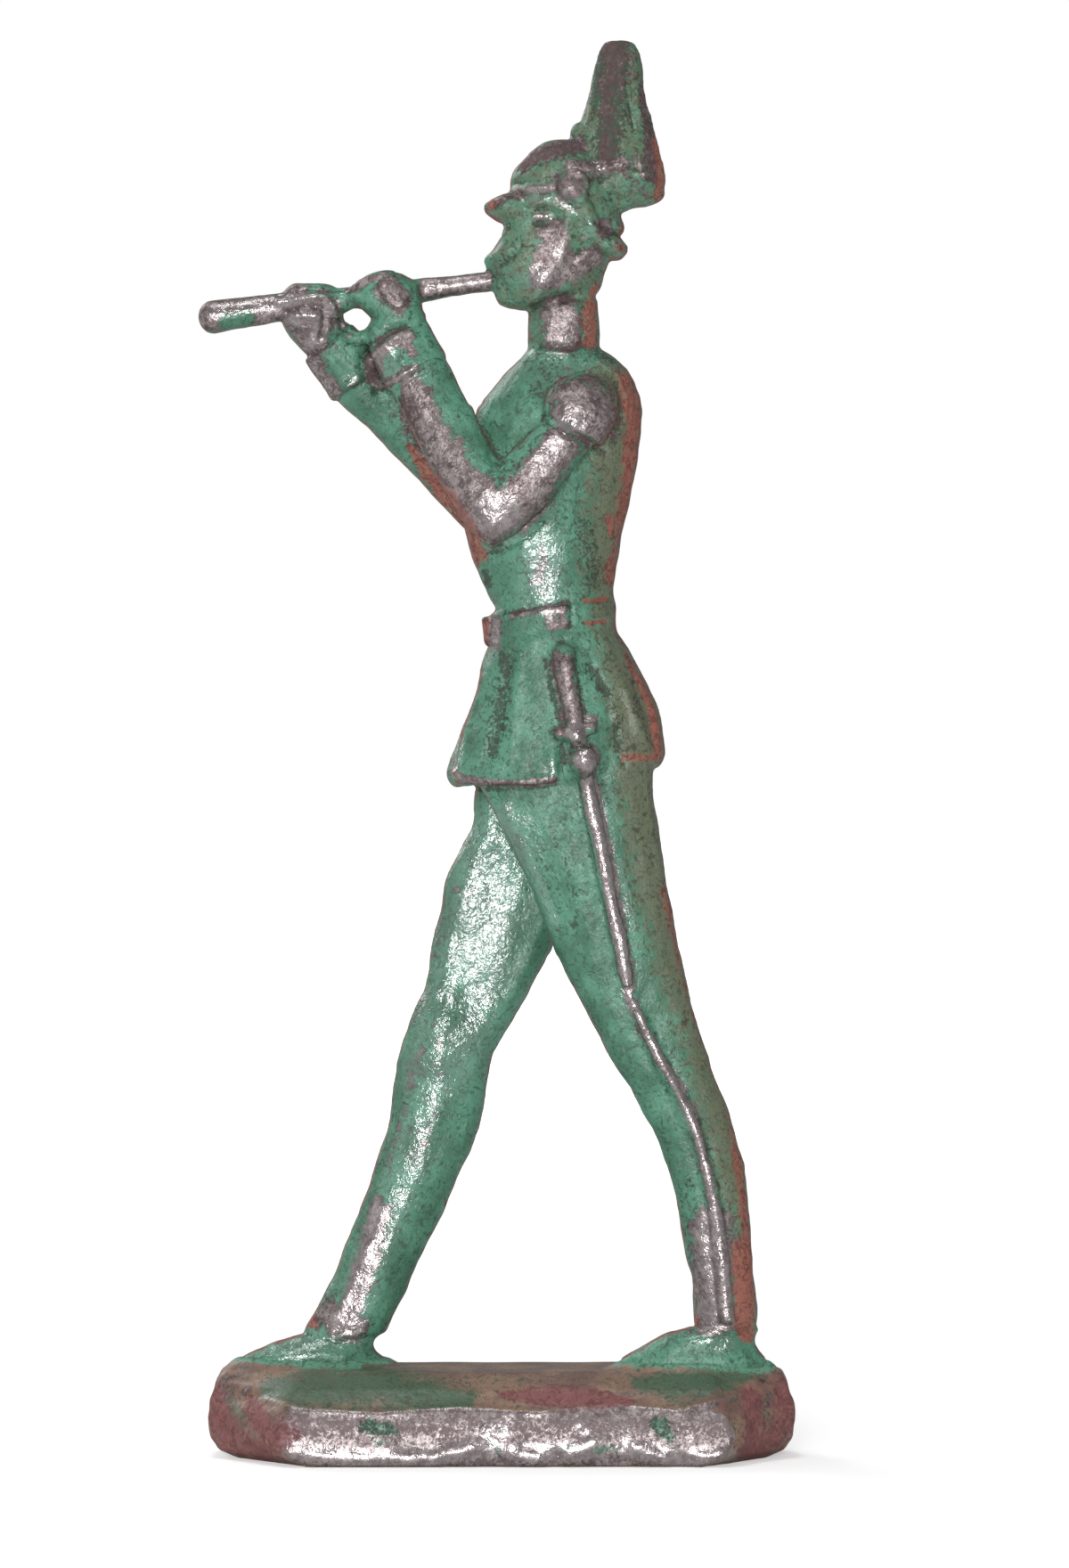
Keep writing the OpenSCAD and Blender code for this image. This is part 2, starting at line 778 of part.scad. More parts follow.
module forearm(rows) {
    difference() {
        loft(rows, steps = 8, sides = slim_sides);
        torso_form();
    }
}

module right_forearm() {
    color(paint)
        forearm(right_fore);
}

module left_forearm() {
    color(paint)
        forearm(left_fore);
}

// How far a wrist draws in toward the parting plane along the cuff, in shares of the cuff
cuff_draw_share = 0.2;

// The point where a hand leaves its cuff
function cuff_end(fore, side) =
    [fore[0][0], fore[0][1] - side * cuff_draw_share * cuff_h, fore[0][2]] - cuff_h * facing(fore[0][5]);

module cuff(fore, side) {
    wrist = fore[0];
    end = cuff_end(fore, side);
    loft([
        [end.x, end.y, end.z, wrist[3], wrist[4], wrist[5], 0],
        [wrist[0], wrist[1], wrist[2], wrist[3] + cuff_t, wrist[4] + cuff_t, wrist[5], 0]
    ], steps = 2, sides = slim_sides);
}

module right_cuff() {
    color(paint)
        cuff(right_fore, right);
}

module left_cuff() {
    color(paint)
        cuff(left_fore, left);
}

near_hand_shares = [
    [-0.21, -0.22, 1.06, 0.54, 0.6, -180, 0],
    [-0.24, -0.2, 0.89, 1.2, 0.92, -178, 0],
    [-0.22, -0.14, 0.62, 1.33, 1, -175, 0],
    [-0.02, -0.07, 0.36, 0.9, 0.96, -170, 0],
    [-0.03, -0.03, 0.13, 1.16, 0.9, -166, 0],
    [0, 0, 0, 0.98, 0.84, -154, 0]
];
far_hand_shares = [
    [-0.31, -0.22, 1.03, 0.7, 0.6, -180, 0],
    [-0.29, -0.2, 0.84, 1.18, 0.92, -176, 0],
    [-0.31, -0.14, 0.53, 1.2, 1, -172, 0],
    [-0.21, -0.06, 0.24, 1.04, 0.94, -158, 0],
    [0, 0, 0, 0.92, 0.84, -141, 0]
];

function hand_rows(shares, fore, side) = placed(
    [for (s = shares) [s[0], side * s[1], s[2], s[3], s[4], s[5], s[6]]],
    cuff_end(fore, side), [hand_l, hand_l, hand_l], [hand_l, hand_l]
);

// The fife runs along the parting plane, from its far end back to the lips
fife_lips = [collar_x - 0.57 * head_l, 0, head_z + 0.265 * head_h];
fife_slope = 7.2;
fife_end = fife_lips - fife_l * [cos(fife_slope), 0, sin(fife_slope)];

module fife_form() {
    along(fife_end, fife_lips)
        union() {
            cylinder(h = fife_l, d1 = fife_far_d, d2 = fife_mouth_d, $fn = 24);
            sphere(d = fife_far_d, $fn = 24);
        }
}

module hand(rows) {
    difference() {
        loft(rows, steps = 8, sides = slim_sides);
        fife_form();
    }
}

module right_hand() {
    color(metal)
        hand(hand_rows(far_hand_shares, right_fore, right));
}

module left_hand() {
    color(metal)
        hand(hand_rows(near_hand_shares, left_fore, left));
}

module fife() {
    color(metal)
        difference() {
            fife_form();
            head_form();
        }
}

// The side arm hangs down the left side, from the hip over the hem and along the thigh
pommel_at = [hem_x + 0.03 * hem_l, -0.46 * hem_w, hem_z + 0.85 * skirt_h];
guard_at = [hem_x + 0.085 * hem_l, -0.505 * hem_w, hem_z + 0.33 * skirt_h];
chape_drop_share = [0.2, 0.012, -0.98];
scabbard_end = guard_at + scabbard_l * [for (k = [0 : 2]) chape_drop_share[k]];
knot_share = 0.13;
crossguard_t_share = 0.14;

module sword_grip() {
    color(metal)
        difference() {
            along(pommel_at, guard_at)
                union() {
                    cylinder(h = norm(guard_at - pommel_at), d1 = 1.15 * grip_d, d2 = 0.75 * grip_d, $fn = 24);
                    sphere(d = 1.25 * grip_d, $fn = 24);
                }
            skirt_form();
            belt_form();
            crossguard_form();
        }
}

module crossguard_form() {
    translate(guard_at)
        rotate([0, -12, 0])
            rotate([0, 90, 0])
                cylinder(h = crossguard_l, d = 2 * crossguard_t_share * crossguard_l, center = true, $fn = 16);
}

module crossguard() {
    color(metal)
        difference() {
            crossguard_form();
            skirt_form();
        }
}

module scabbard_form() {
    along(guard_at, scabbard_end)
        union() {
            cylinder(h = scabbard_l, d1 = scabbard_d, d2 = 0.8 * scabbard_d, $fn = 24);
            translate([0, 0, 0.93 * scabbard_l])
                cylinder(h = 0.07 * scabbard_l, d1 = scabbard_d, d2 = 0.7 * scabbard_d, $fn = 24);
        }
}

module scabbard() {
    color(metal)
        difference() {
            scabbard_form();
            skirt_form();
            crossguard_form();
            loft(rear_leg, 0, knee_station, steps = 8, sides = slim_sides, side = left);
        }
}

module sword_knot() {
    knot_at = guard_at + knot_share * (scabbard_end - guard_at);
    color(metal)
        difference() {
            translate(knot_at - [0, 0.4 * knot_d, 0])
                sphere(d = knot_d, $fn = 24);
            skirt_form();
            scabbard_form();
            crossguard_form();
        }
}

base_plate();
right_boot();
left_boot();
right_shin();
left_shin();
right_thigh();
left_thigh();
right_piping();
left_piping();
tunic_skirt();
waist_belt();
belt_buckle();
tunic_body();
tunic_collar();
head();
helmet_shell();
helmet_peak();
neck_guard();
right_rosette();
left_rosette();
right_chin_strap();
left_chin_strap();
plume_socket();
plume();
right_shoulder_wing();
left_shoulder_wing();
right_upper_arm();
left_upper_arm();
right_forearm();
left_forearm();
right_cuff();
left_cuff();
right_hand();
left_hand();
fife();
sword_grip();
crossguard();
sword_knot();
scabbard();
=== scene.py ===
import math
import bpy
import numpy as np
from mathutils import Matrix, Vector
from mathutils.kdtree import KDTree


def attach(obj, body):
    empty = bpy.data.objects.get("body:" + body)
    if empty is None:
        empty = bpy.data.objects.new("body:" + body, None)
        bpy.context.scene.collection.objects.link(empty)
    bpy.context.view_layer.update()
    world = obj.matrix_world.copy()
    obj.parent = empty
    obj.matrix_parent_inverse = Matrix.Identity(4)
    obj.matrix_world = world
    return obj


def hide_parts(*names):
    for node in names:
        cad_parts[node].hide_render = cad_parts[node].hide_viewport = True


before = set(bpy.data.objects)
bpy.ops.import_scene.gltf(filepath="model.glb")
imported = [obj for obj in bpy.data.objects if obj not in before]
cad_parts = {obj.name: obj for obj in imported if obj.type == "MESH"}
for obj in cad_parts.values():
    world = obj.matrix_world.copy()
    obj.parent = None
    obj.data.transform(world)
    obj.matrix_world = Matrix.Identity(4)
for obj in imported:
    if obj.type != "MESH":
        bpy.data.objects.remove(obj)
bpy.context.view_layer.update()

# The fifer is two castings, the figure and its base. Each is the fused skin of its CAD nodes,
# with the relief pressed in and the wear of its paint laid on as masks.

# ---------------------------------------------------------------- the side view
# Marks on the casting are placed in the side view: a column and a row, PITCH millimetres
# apart, as the eye sees them from EYE millimetres away. The far side uses the same grid.
PITCH, EYE = 0.042, 400.0
COLUMNS, ROWS = 1200, 1760  # the whole grid, which the camera sees
COLUMN, ROW, HEIGHT = 563.0, 671.0, 40.49  # where x is 0 on it, at this height in millimetres
MM = 0.001


def grid(points):
    """The column and the row of each point, seen from its own side."""
    k = PITCH * (EYE - np.abs(points[:, 1])) / EYE
    return COLUMN + points[:, 0] / k, ROW + (HEIGHT - points[:, 2]) / k


def at(column, row, y):
    """The point at depth y on one place of the grid, in millimetres."""
    k = PITCH * (EYE - abs(y)) / EYE
    return ((column - COLUMN) * k, y, HEIGHT - (row - ROW) * k)


def ease(x, low, high):
    """0 up to low and 1 from high, with a smooth step between."""
    t = np.clip((x - low) / (high - low), 0.0, 1.0)
    return t * t * (3 - 2 * t)


def stretch(x, start, full, fade, end):
    """1 from full to fade, with a smooth step up from start and down to end."""
    return ease(x, start, full) * (1 - ease(x, fade, end))


def ripples(points, size, seed, waves=14):
    """Smooth seeded noise from -1 to 1, with lumps of about one size in millimetres."""
    rng = np.random.default_rng(seed)
    total = np.zeros(len(points))
    for _ in range(waves):
        way = rng.normal(size=3)
        way *= rng.uniform(0.7, 1.5) * math.pi / size / np.linalg.norm(way)
        total += np.cos(points @ way + rng.uniform(0, 2 * math.pi))
    return total / math.sqrt(waves)


# ---------------------------------------------------------------- raw shapes
def node_shape(name):
    """A CAD node's skin in millimetres, welded."""
    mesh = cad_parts[name].data
    co = np.empty(len(mesh.vertices) * 3)
    mesh.vertices.foreach_get("co", co)
    co = co.reshape(-1, 3) / MM
    mesh.calc_loop_triangles()
    tri = np.empty(len(mesh.loop_triangles) * 3, int)
    mesh.loop_triangles.foreach_get("vertices", tri)
    _, first, back = np.unique(np.round(co, 4), axis=0, return_index=True, return_inverse=True)
    return co[first], [tuple(t) for t in back.reshape(-1)[tri].reshape(-1, 3)]


def bands(rings, sides):
    """The faces between each of so many rings of points and the next."""
    faces = []
    for start in range(0, (rings - 1) * sides, sides):
        for i in range(sides):
            a, b = start + i, start + (i + 1) % sides
            faces.append((a, b, b + sides, a + sides))
    return faces


TUBE_SIDES = 14
CAP_ANGLES = (0.5, 0.95, 1.4)  # of the rings that round off a tube's ends


def tube(path):
    """A round-ended tube through (x, y, z, radius) points."""
    path = np.array(path, float)
    way = np.gradient(path[:, :3], axis=0)
    way /= np.linalg.norm(way, axis=1)[:, None]
    rows = [(0, -math.sin(a), math.cos(a)) for a in reversed(CAP_ANGLES)]
    rows += [(i, 0.0, 1.0) for i in range(len(path))]
    rows += [(len(path) - 1, math.sin(a), math.cos(a)) for a in CAP_ANGLES]
    turn = np.linspace(0, 2 * math.pi, TUBE_SIDES, endpoint=False)[:, None]
    rings = []
    for i, along, wide in rows:
        side = np.cross(way[i], (0.0, 1.0, 0.0))
        side /= np.linalg.norm(side)
        up = np.cross(side, way[i])
        centre = path[i, :3] + way[i] * along * path[i, 3]
        rings.append(centre + path[i, 3] * wide * (np.cos(turn) * side + np.sin(turn) * up))
    verts = np.concatenate(rings + [rings[0].mean(0)[None], rings[-1].mean(0)[None]])
    faces = bands(len(rings), TUBE_SIDES)
    first_pole = len(rings) * TUBE_SIDES
    last_ring = first_pole - TUBE_SIDES
    for i in range(TUBE_SIDES):
        after = (i + 1) % TUBE_SIDES
        faces.append((first_pole, after, i))
        faces.append((first_pole + 1, last_ring + i, last_ring + after))
    return verts, faces


def bar(marks, y):
    """A tube through (column, row, radius in mm) places of the grid at one depth, or depths."""
    depths = y if isinstance(y, list) else [y] * len(marks)
    return tube([at(c, r, d) + (w,) for (c, r, w), d in zip(marks, depths)])


# ---------------------------------------------------------------- clay
# What lies on the skin, from 0 to 1, for the materials to read. bare: the paint is worn off.
# dirt_and_shade: dirt has settled, and shade is painted dark in hollows, grooves and shaded
# sides.
# primer_and_rim_reflection: the primer shows, and a red reflection and shade are painted on the
# edges that turn away from the front. tone: the paint has turned to its second colour. leaf: it
# is leaf green. polish_and_highlight: the place is rubbed bright, and bare metal there is
# painted lighter, as a highlight.
MASKS = ("bare", "dirt_and_shade", "primer_and_rim_reflection", "tone", "leaf", "polish_and_highlight")
NEAR, FAR, BOTH, ROUND = -1, 1, 2, 0  # the sides that strokes fall on

SMOOTHING = (0.6, -0.62)  # a round's step in and its step out again
MELTING, FLATTENING = 0.7, 0.8  # a round's step in soften and in bend
FADED = 2.2  # a stroke is over at this many widths from its path
FACING = (0.05, 0.45)  # the skin takes none and all of one side's stroke at these slopes
BARE_SPREAD = 1.2  # bare places are this much wider than their strokes


def ways(side):
    """The sides that a stroke falls on: one, both, or all round with no regard to them."""
    return (NEAR, FAR) if side == BOTH else (side,)


class Clay:
    """A dense closed skin, fused from raw shapes, that is pressed and tinted with strokes.

    P holds its points in millimetres, N their normals, U and V their columns and rows on the
    grid, M their masks, F the faces, and I and J both ends of every edge, taken both ways.
    """

    def __init__(self, name, shapes, voxel, rounds):
        self.name = name
        verts, faces, offset = [], [], 0
        for v, f in shapes:
            verts.append(np.asarray(v, float))
            faces.extend(tuple(int(i) + offset for i in face) for face in f)
            offset += len(v)
        mesh = bpy.data.meshes.new(name)
        mesh.from_pydata(np.concatenate(verts).tolist(), [], faces)
        raw = bpy.data.objects.new(name, mesh)
        bpy.context.scene.collection.objects.link(raw)
        fuse = raw.modifiers.new("fuse", "REMESH")
        fuse.mode = "VOXEL"
        fuse.voxel_size = voxel
        seen = raw.evaluated_get(bpy.context.evaluated_depsgraph_get())
        made = bpy.data.meshes.new_from_object(seen)
        co = np.empty(len(made.vertices) * 3)
        made.vertices.foreach_get("co", co)
        self.P = co.reshape(-1, 3)
        corner = np.empty(len(made.loops), int)
        made.loops.foreach_get("vertex_index", corner)
        self.F = corner.reshape(-1, 4)
        bpy.data.objects.remove(raw)
        bpy.data.meshes.remove(mesh)
        bpy.data.meshes.remove(made)
        edges = [np.stack([self.F[:, k], self.F[:, (k + 1) % 4]], 1) for k in range(4)]
        pairs = np.unique(np.sort(np.concatenate(edges), 1), axis=0)
        self.I = np.concatenate([pairs[:, 0], pairs[:, 1]])
        self.J = np.concatenate([pairs[:, 1], pairs[:, 0]])
        self.n = len(self.P)
        self.count = np.maximum(np.bincount(self.I, minlength=self.n), 1)
        self.M = {m: np.zeros(self.n) for m in MASKS}
        self.relax(rounds)
        self.look()

    def around(self, values):
        """The mean of each point's neighbours."""
        means = [np.bincount(self.I, v[self.J], self.n) / self.count for v in values.T]
        return np.stack(means, 1)

    def relax(self, rounds, where=None):
        """Smooths the skin without shrinking it."""
        for _ in range(rounds):
            for by in SMOOTHING:
                step = by * (self.around(self.P) - self.P)
                self.P = self.P + (step if where is None else step * where[:, None])

    def look(self):
        """Takes the normals and the grid places of the skin as it now is."""
        a, b, c, d = (self.P[self.F[:, k]] for k in range(4))
        face = np.cross(c - a, d - b)
        total = np.zeros_like(self.P)
        for k in range(4):
            for x in range(3):
                total[:, x] += np.bincount(self.F[:, k], face[:, x], self.n)
        self.N = total / np.maximum(np.linalg.norm(total, axis=1), 1e-12)[:, None]
        self.U, self.V = grid(self.P)

    def reach(self, path, width, side):
        """How much each point belongs to a stroke: 1 on its path, falling off over its width,
        which a third number in a place of the path multiplies."""
        path = np.array([(p[0], p[1], p[2] if len(p) > 2 else 1.0) for p in path], float)
        span = FADED * width * path[:, 2].max()
        near = (
            (self.U > path[:, 0].min() - span) & (self.U < path[:, 0].max() + span)
            & (self.V > path[:, 1].min() - span) & (self.V < path[:, 1].max() + span)
        )
        if side:
            near &= side * self.N[:, 1] > FACING[0]
        index = np.nonzero(near)[0]
        q = np.stack([self.U[index], self.V[index]], 1)
        best = np.zeros(len(index))
        if len(path) == 1:
            path = np.concatenate([path, path + [0.01, 0, 0]])
        for a, b in zip(path[:-1], path[1:]):
            d = b[:2] - a[:2]
            t = np.clip(((q - a[:2]) @ d) / max(d @ d, 1e-9), 0, 1)
            gap = np.linalg.norm(q - a[:2] - t[:, None] * d, axis=1)
            share = a[2] + t * (b[2] - a[2])
            best = np.maximum(best, np.exp(-((gap / (width * share)) ** 2)))
        if side:
            best *= ease(side * self.N[index, 1], *FACING)
        full = np.zeros(self.n)
        full[index] = best
        return full

    def press(self, strokes):
        """Each stroke is (path, width, height in mm, side): a ridge, or below 0 a groove."""
        for path, width, height, side in strokes:
            for way in ways(side):
                self.P += self.N * (height * self.reach(path, width, way))[:, None]
        self.look()

    def pull(self, moves):
        """Each move is (column, row, columns, rows, width): it carries the skin at a place
        over by so many columns and rows."""
        for column, row, du, dv, width in moves:
            w = np.exp(-((self.U - column) ** 2 + (self.V - row) ** 2) / width**2)
            self.P[:, 0] += du * PITCH * w
            self.P[:, 2] -= dv * PITCH * w
        self.look()

    def tint(self, mask, strokes):
        """Each stroke is (path, width, amount, side); an amount below 0 wipes the mark off."""
        spread = BARE_SPREAD if mask == "bare" else 1.0
        for path, width, amount, side in strokes:
            for way in ways(side):
                w = abs(amount) * self.reach(path, width * spread, way)
                held = self.M[mask]
                self.M[mask] = np.maximum(held, w) if amount > 0 else held * (1 - w)

    def mark(self, mask, amounts):
        """Raises a mask to these amounts where it is below them."""
        self.M[mask] = np.maximum(self.M[mask], amounts)

    def soften(self, strokes):
        """Each stroke is (path, width, rounds, side): it melts what it passes over."""
        for path, width, rounds, side in strokes:
            w = np.zeros(self.n)
            for way in ways(side):
                w = np.maximum(w, self.reach(path, width, way))
            for _ in range(rounds):
                self.P += MELTING * w[:, None] * (self.around(self.P) - self.P)
        self.look()

    def bend(self, rounds):
        """How far the skin stands out of its smoothed self, in mm: above 0 on edges."""
        smooth = self.P
        for _ in range(rounds):
            smooth = smooth + FLATTENING * (self.around(smooth) - smooth)
        return np.einsum("ij,ij->i", self.P - smooth, self.N)

    def close_to(self, other, scale):
        """1 where another casting's skin passes through this one, falling off with distance."""
        low, high = self.P.min(0) - 1, self.P.max(0) + 1
        points = other.P[((other.P > low) & (other.P < high)).all(1)]
        tree = KDTree(len(points))
        for i, p in enumerate(points):
            tree.insert(p, i)
        tree.balance()
        low, high = points.min(0) - 3 * scale, points.max(0) + 3 * scale
        index = np.nonzero(((self.P > low) & (self.P < high)).all(1))[0]
        gap = np.array([tree.find(p)[2] for p in self.P[index]])
        full = np.zeros(self.n)
        full[index] = np.exp(-((gap / scale) ** 2))
        return full

    def finish(self, material, nodes):
        """Makes the visible piece, which stands for these nodes."""
        mesh = bpy.data.meshes.new(self.name)
        mesh.vertices.add(self.n)
        mesh.vertices.foreach_set("co", (self.P * MM).reshape(-1))
        mesh.loops.add(self.F.size)
        mesh.loops.foreach_set("vertex_index", self.F.reshape(-1))
        mesh.polygons.add(len(self.F))
        mesh.polygons.foreach_set("loop_start", np.arange(len(self.F)) * 4)
        mesh.polygons.foreach_set("use_smooth", np.ones(len(self.F), bool))
        for name, values in self.M.items():
            layer = mesh.attributes.new(name, "FLOAT", "POINT")
            layer.data.foreach_set("value", np.clip(values, 0, 1))
        mesh.update()
        mesh.validate()
        piece = bpy.data.objects.new(self.name, mesh)
        bpy.context.scene.collection.objects.link(piece)
        mesh.materials.append(material)
        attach(piece, "root")
        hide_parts(*nodes)


# ---------------------------------------------------------------- castings

# The rim that runs back from each rosette and the web of metal between the hands, and how
# far they lie from the middle plane
RIM_Y, WEB_Y = 2.05, 0.45
RIM = [(640, 212, 0.5), (652, 228, 0.45), (664, 250, 0.4), (670, 266, 0.3)]
WEB = [
    (386, 368, 0.3), (392, 377, 0.34), (403, 380, 0.36),
    (415, 377, 0.36), (424, 366, 0.34), (427, 352, 0.3),
]
figure_nodes = [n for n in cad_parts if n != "base_plate"]
shapes = [node_shape(n) for n in figure_nodes]
shapes += [bar(RIM, [y, y, 0.95 * y, 0.9 * y]) for y in (-RIM_Y, RIM_Y)]
shapes += [bar(WEB, y) for y in (-WEB_Y, 0.0, WEB_Y)]
figure = Clay("figure_casting", shapes, voxel=0.1, rounds=4)
base = Clay("base_casting", [node_shape("base_plate")], voxel=0.13, rounds=22)

# The legs are drawn out to rounder forms, and the scabbard to a smooth rod
legs = stretch(figure.V, 905, 950, 1462, 1488)
rod = ease(figure.reach([(660, 868), (682, 975), (706, 1108)], 16, NEAR), 0.3, 0.6)
figure.relax(45, legs * (1 - rod))
figure.relax(10, rod)
figure.look()
# The seams of the pieces melt into one another, as they do under the paint
figure.soften([
    ([(572, 243), (600, 244), (640, 256), (660, 266)], 9, 30, BOTH),
    ([(575, 236), (590, 228), (606, 220)], 7, 10, BOTH),
    ([(600, 352), (640, 347), (668, 340)], 8, 16, BOTH),
    ([(592, 396), (630, 396), (672, 392)], 9, 16, BOTH),
    ([(640, 875), (665, 880), (700, 870)], 12, 16, BOTH),
    ([(645, 680), (688, 674)], 9, 10, BOTH),
    ([(645, 712), (688, 704)], 9, 14, BOTH),
    ([(560, 722), (600, 716), (640, 712)], 8, 8, BOTH),
    ([(535, 884), (560, 886), (625, 882)], 5, 3, BOTH),
    ([(520, 600), (536, 622)], 12, 12, BOTH),
    ([(632, 830), (638, 870)], 11, 16, NEAR),
    ([(622, 275), (610, 305), (640, 300)], 20, 24, BOTH),
    ([(637, 210)], 13, 10, BOTH),
    ([(668, 330), (668, 385)], 9, 14, BOTH),
    ([(846, 1494)], 11, 24, ROUND),
    ([(690, 664), (693, 690), (690, 716)], 9, 30, ROUND),
    ([(563, 901), (592, 967), (621, 1042)], 5, 8, ROUND),
    ([(690, 850), (730, 856), (748, 850)], 6, 8, BOTH),
    ([(744, 856), (734, 866), (728, 876)], 8, 30, ROUND),
    ([(500, 398), (506, 412)], 10, 30, ROUND),
    ([(403, 359)], 17, 11, ROUND),
    ([(412, 398), (417, 420), (430, 442)], 9, 22, NEAR),
    ([(548, 708)], 10, 12, ROUND),
    ([(580, 560), (610, 545), (650, 515)], 6, 8, NEAR),
    ([(540, 500), (560, 520)], 8, 8, NEAR),
    ([(696, 1490), (740, 1502), (800, 1503), (850, 1497)], 9, 6, BOTH),
    ([(385, 330), (420, 330)], 8, 6, BOTH),
    ([(455, 1205), (540, 1215)], 30, 12, BOTH),
    ([(690, 1240), (800, 1240)], 30, 12, BOTH),
])

# The relief of the head and the helmet
figure.press([
    ([(566, 263), (580, 256), (598, 246)], 6, 0.12, BOTH),
    ([(600, 250), (612, 252)], 7, -0.13, BOTH),
    ([(601, 243), (613, 244)], 4, 0.12, BOTH),
    ([(601, 258), (614, 259)], 2.5, 0.1, BOTH),
    ([(585, 276), (574, 290), (558, 302)], 5, -0.16, BOTH),
    ([(570, 276), (558, 287), (553, 294)], 7, 0.1, BOTH),
    ([(578, 262), (573, 272)], 6, -0.12, BOTH),
    ([(556, 311), (566, 322), (572, 335)], 5, -0.12, BOTH),
    ([(594, 349), (612, 338), (640, 332), (664, 324)], 6, -0.12, BOTH),
    ([(596, 338), (615, 330), (640, 324)], 5, 0.06, BOTH),
    ([(642, 268), (656, 268), (662, 282), (652, 294)], 4, 0.1, BOTH),
    ([(651, 281)], 4, -0.08, BOTH),
    ([(606, 389), (640, 390), (664, 387)], 3, -0.12, BOTH),
    ([(600, 397), (640, 398)], 4, 0.06, BOTH),
    ([(550, 229), (575, 216), (605, 211), (620, 212)], 4, 0.16, BOTH),
    ([(576, 206), (600, 202), (622, 198)], 4, -0.08, BOTH),
    ([(594, 236), (612, 224)], 3, 0.12, BOTH),
    ([(637, 212)], 9, 0.12, BOTH),
    ([(607, 316)], 12, 0.12, BOTH),
    ([(646, 203), (650, 212)], 4, -0.06, BOTH),
    ([(690, 252), (698, 262), (704, 276)], 3, 0.1, BOTH),
    ([(668, 247), (684, 262), (688, 280)], 3, -0.12, BOTH),
])
# The plume, with its strands
figure.press([
    ([(641, 188), (660, 193), (678, 190), (700, 183), (716, 182), (723, 198)], 6.5, 0.2, BOTH),
    ([(662, 192), (678, 190)], 7, 0.12, BOTH),
    ([(655, 203), (690, 200)], 5, -0.08, BOTH),
    ([(697, 50), (700, 110), (700, 170)], 6, 0.08, BOTH),
] + [
    ([(694 + 0.34 * d, 60 + t), (692 + 0.62 * d, 115), (691 + d, 170 - t)],
     2.2 + 0.4 * (t % 3), -0.02 - 0.0018 * t, BOTH)
    # d is a strand's columns from the middle one, t how far its ends are drawn in
    for d, t in ((-33, 20), (-22, 4), (-13, 24), (-5, 9), (5, 17), (12, 2), (21, 22), (31, 10))
] + [
    ([(690 + 0.8 * d, 205), (692 + d, 226)], 2, -0.035, BOTH) for d in (-20, -6, 9, 25)
])
# The hands, the cuffs and the arms
figure.press([
    ([(312, 340), (345, 334), (364, 332), (373, 343), (378, 355)], 3.2, 0.2, BOTH),
    ([(322, 349), (345, 343), (362, 346), (365, 358), (360, 378)], 3, -0.16, BOTH),
    ([(328, 356), (345, 354), (358, 356)], 3.5, 0.16, BOTH),
    ([(350, 380), (358, 388)], 4, 0.12, BOTH),
    ([(312, 331), (345, 325), (375, 327), (392, 324)], 2.4, -0.12, BOTH),
    ([(393, 327), (415, 313), (440, 309)], 4, 0.12, BOTH),
    ([(424, 320), (432, 338), (450, 346), (462, 338)], 2.6, -0.12, BOTH),
    ([(430, 322), (452, 318)], 3, 0.1, BOTH),
    ([(407, 400), (418, 388), (435, 374), (455, 366), (474, 364)], 3.4, -0.2, NEAR),
    ([(413, 408), (424, 394), (440, 381), (462, 374)], 4, 0.16, NEAR),
    ([(422, 440), (448, 429), (471, 416), (498, 404)], 3, -0.12, NEAR),
    ([(426, 436), (448, 425), (471, 411)], 3, 0.12, NEAR),
    ([(417, 413), (428, 395), (446, 383)], 6, 0.12, NEAR),
    ([(436, 397)], 5, 0.1, NEAR),
    ([(452, 421), (464, 415)], 4, 0.12, NEAR),
    ([(352, 397), (366, 387), (379, 375), (392, 371)], 3.2, -0.26, BOTH),
    ([(362, 446), (384, 436), (404, 426)], 3, 0.14, BOTH),
    ([(405, 402), (410, 428), (434, 458), (450, 490)], 5, -0.08, NEAR),
    ([(552, 512), (560, 528), (575, 520)], 6, -0.16, NEAR),
    ([(529, 622), (560, 620), (590, 604), (610, 585)], 4, -0.14, NEAR),
    ([(612, 474), (634, 487), (660, 497), (680, 508)], 3, -0.14, BOTH),
    ([(672, 406), (692, 420), (703, 446), (701, 474), (690, 496)], 2, 0.09, BOTH),
    ([(640, 452), (656, 458)], 2, 0.08, BOTH),
])
# The belt, the skirt and the side arm
figure.press([
    ([(574, 735), (563, 785), (553, 845)], 9, -0.14, BOTH),
    ([(583, 735), (578, 790), (574, 850)], 6, 0.07, BOTH),
    ([(545, 760), (525, 820), (514, 868)], 4, 0.1, BOTH),
    ([(631, 835), (632, 866)], 5, -0.1, NEAR),
    ([(620, 845), (622, 868)], 5, 0.08, NEAR),
    ([(510, 868), (545, 875), (590, 877), (620, 874)], 3.5, 0.14, BOTH),
    ([(684, 842), (686, 856), (676, 872)], 7, -0.14, NEAR),
    ([(659, 849)], 16, 0.36, NEAR),
    ([(644, 838), (664, 836)], 4, -0.12, NEAR),
    ([(646, 824)], 9, 0.12, NEAR),
    ([(700, 858), (694, 846), (692, 815)], 3.5, -0.14, BOTH),
    ([(662, 748), (680, 775), (690, 835)], 6, -0.14, BOTH),
    ([(703, 775), (715, 810), (725, 840)], 5, 0.16, BOTH),
    ([(714, 765), (727, 800), (735, 835)], 4, -0.14, BOTH),
    ([(700, 845), (720, 849), (745, 845)], 4.5, 0.08, BOTH),
    ([(568, 689), (600, 682), (640, 677)], 2.6, -0.14, BOTH),
    ([(657, 675), (680, 672)], 2.6, -0.12, BOTH),
    ([(657, 700), (680, 697)], 2.6, -0.12, BOTH),
    ([(640, 681), (641, 704)], 2.6, -0.12, BOTH),
    ([(612, 694), (632, 692)], 9, 0.06, BOTH),
    ([(622, 745), (645, 740)], 2.2, -0.12, NEAR),
    ([(632, 738)], 2.5, -0.1, NEAR),
])
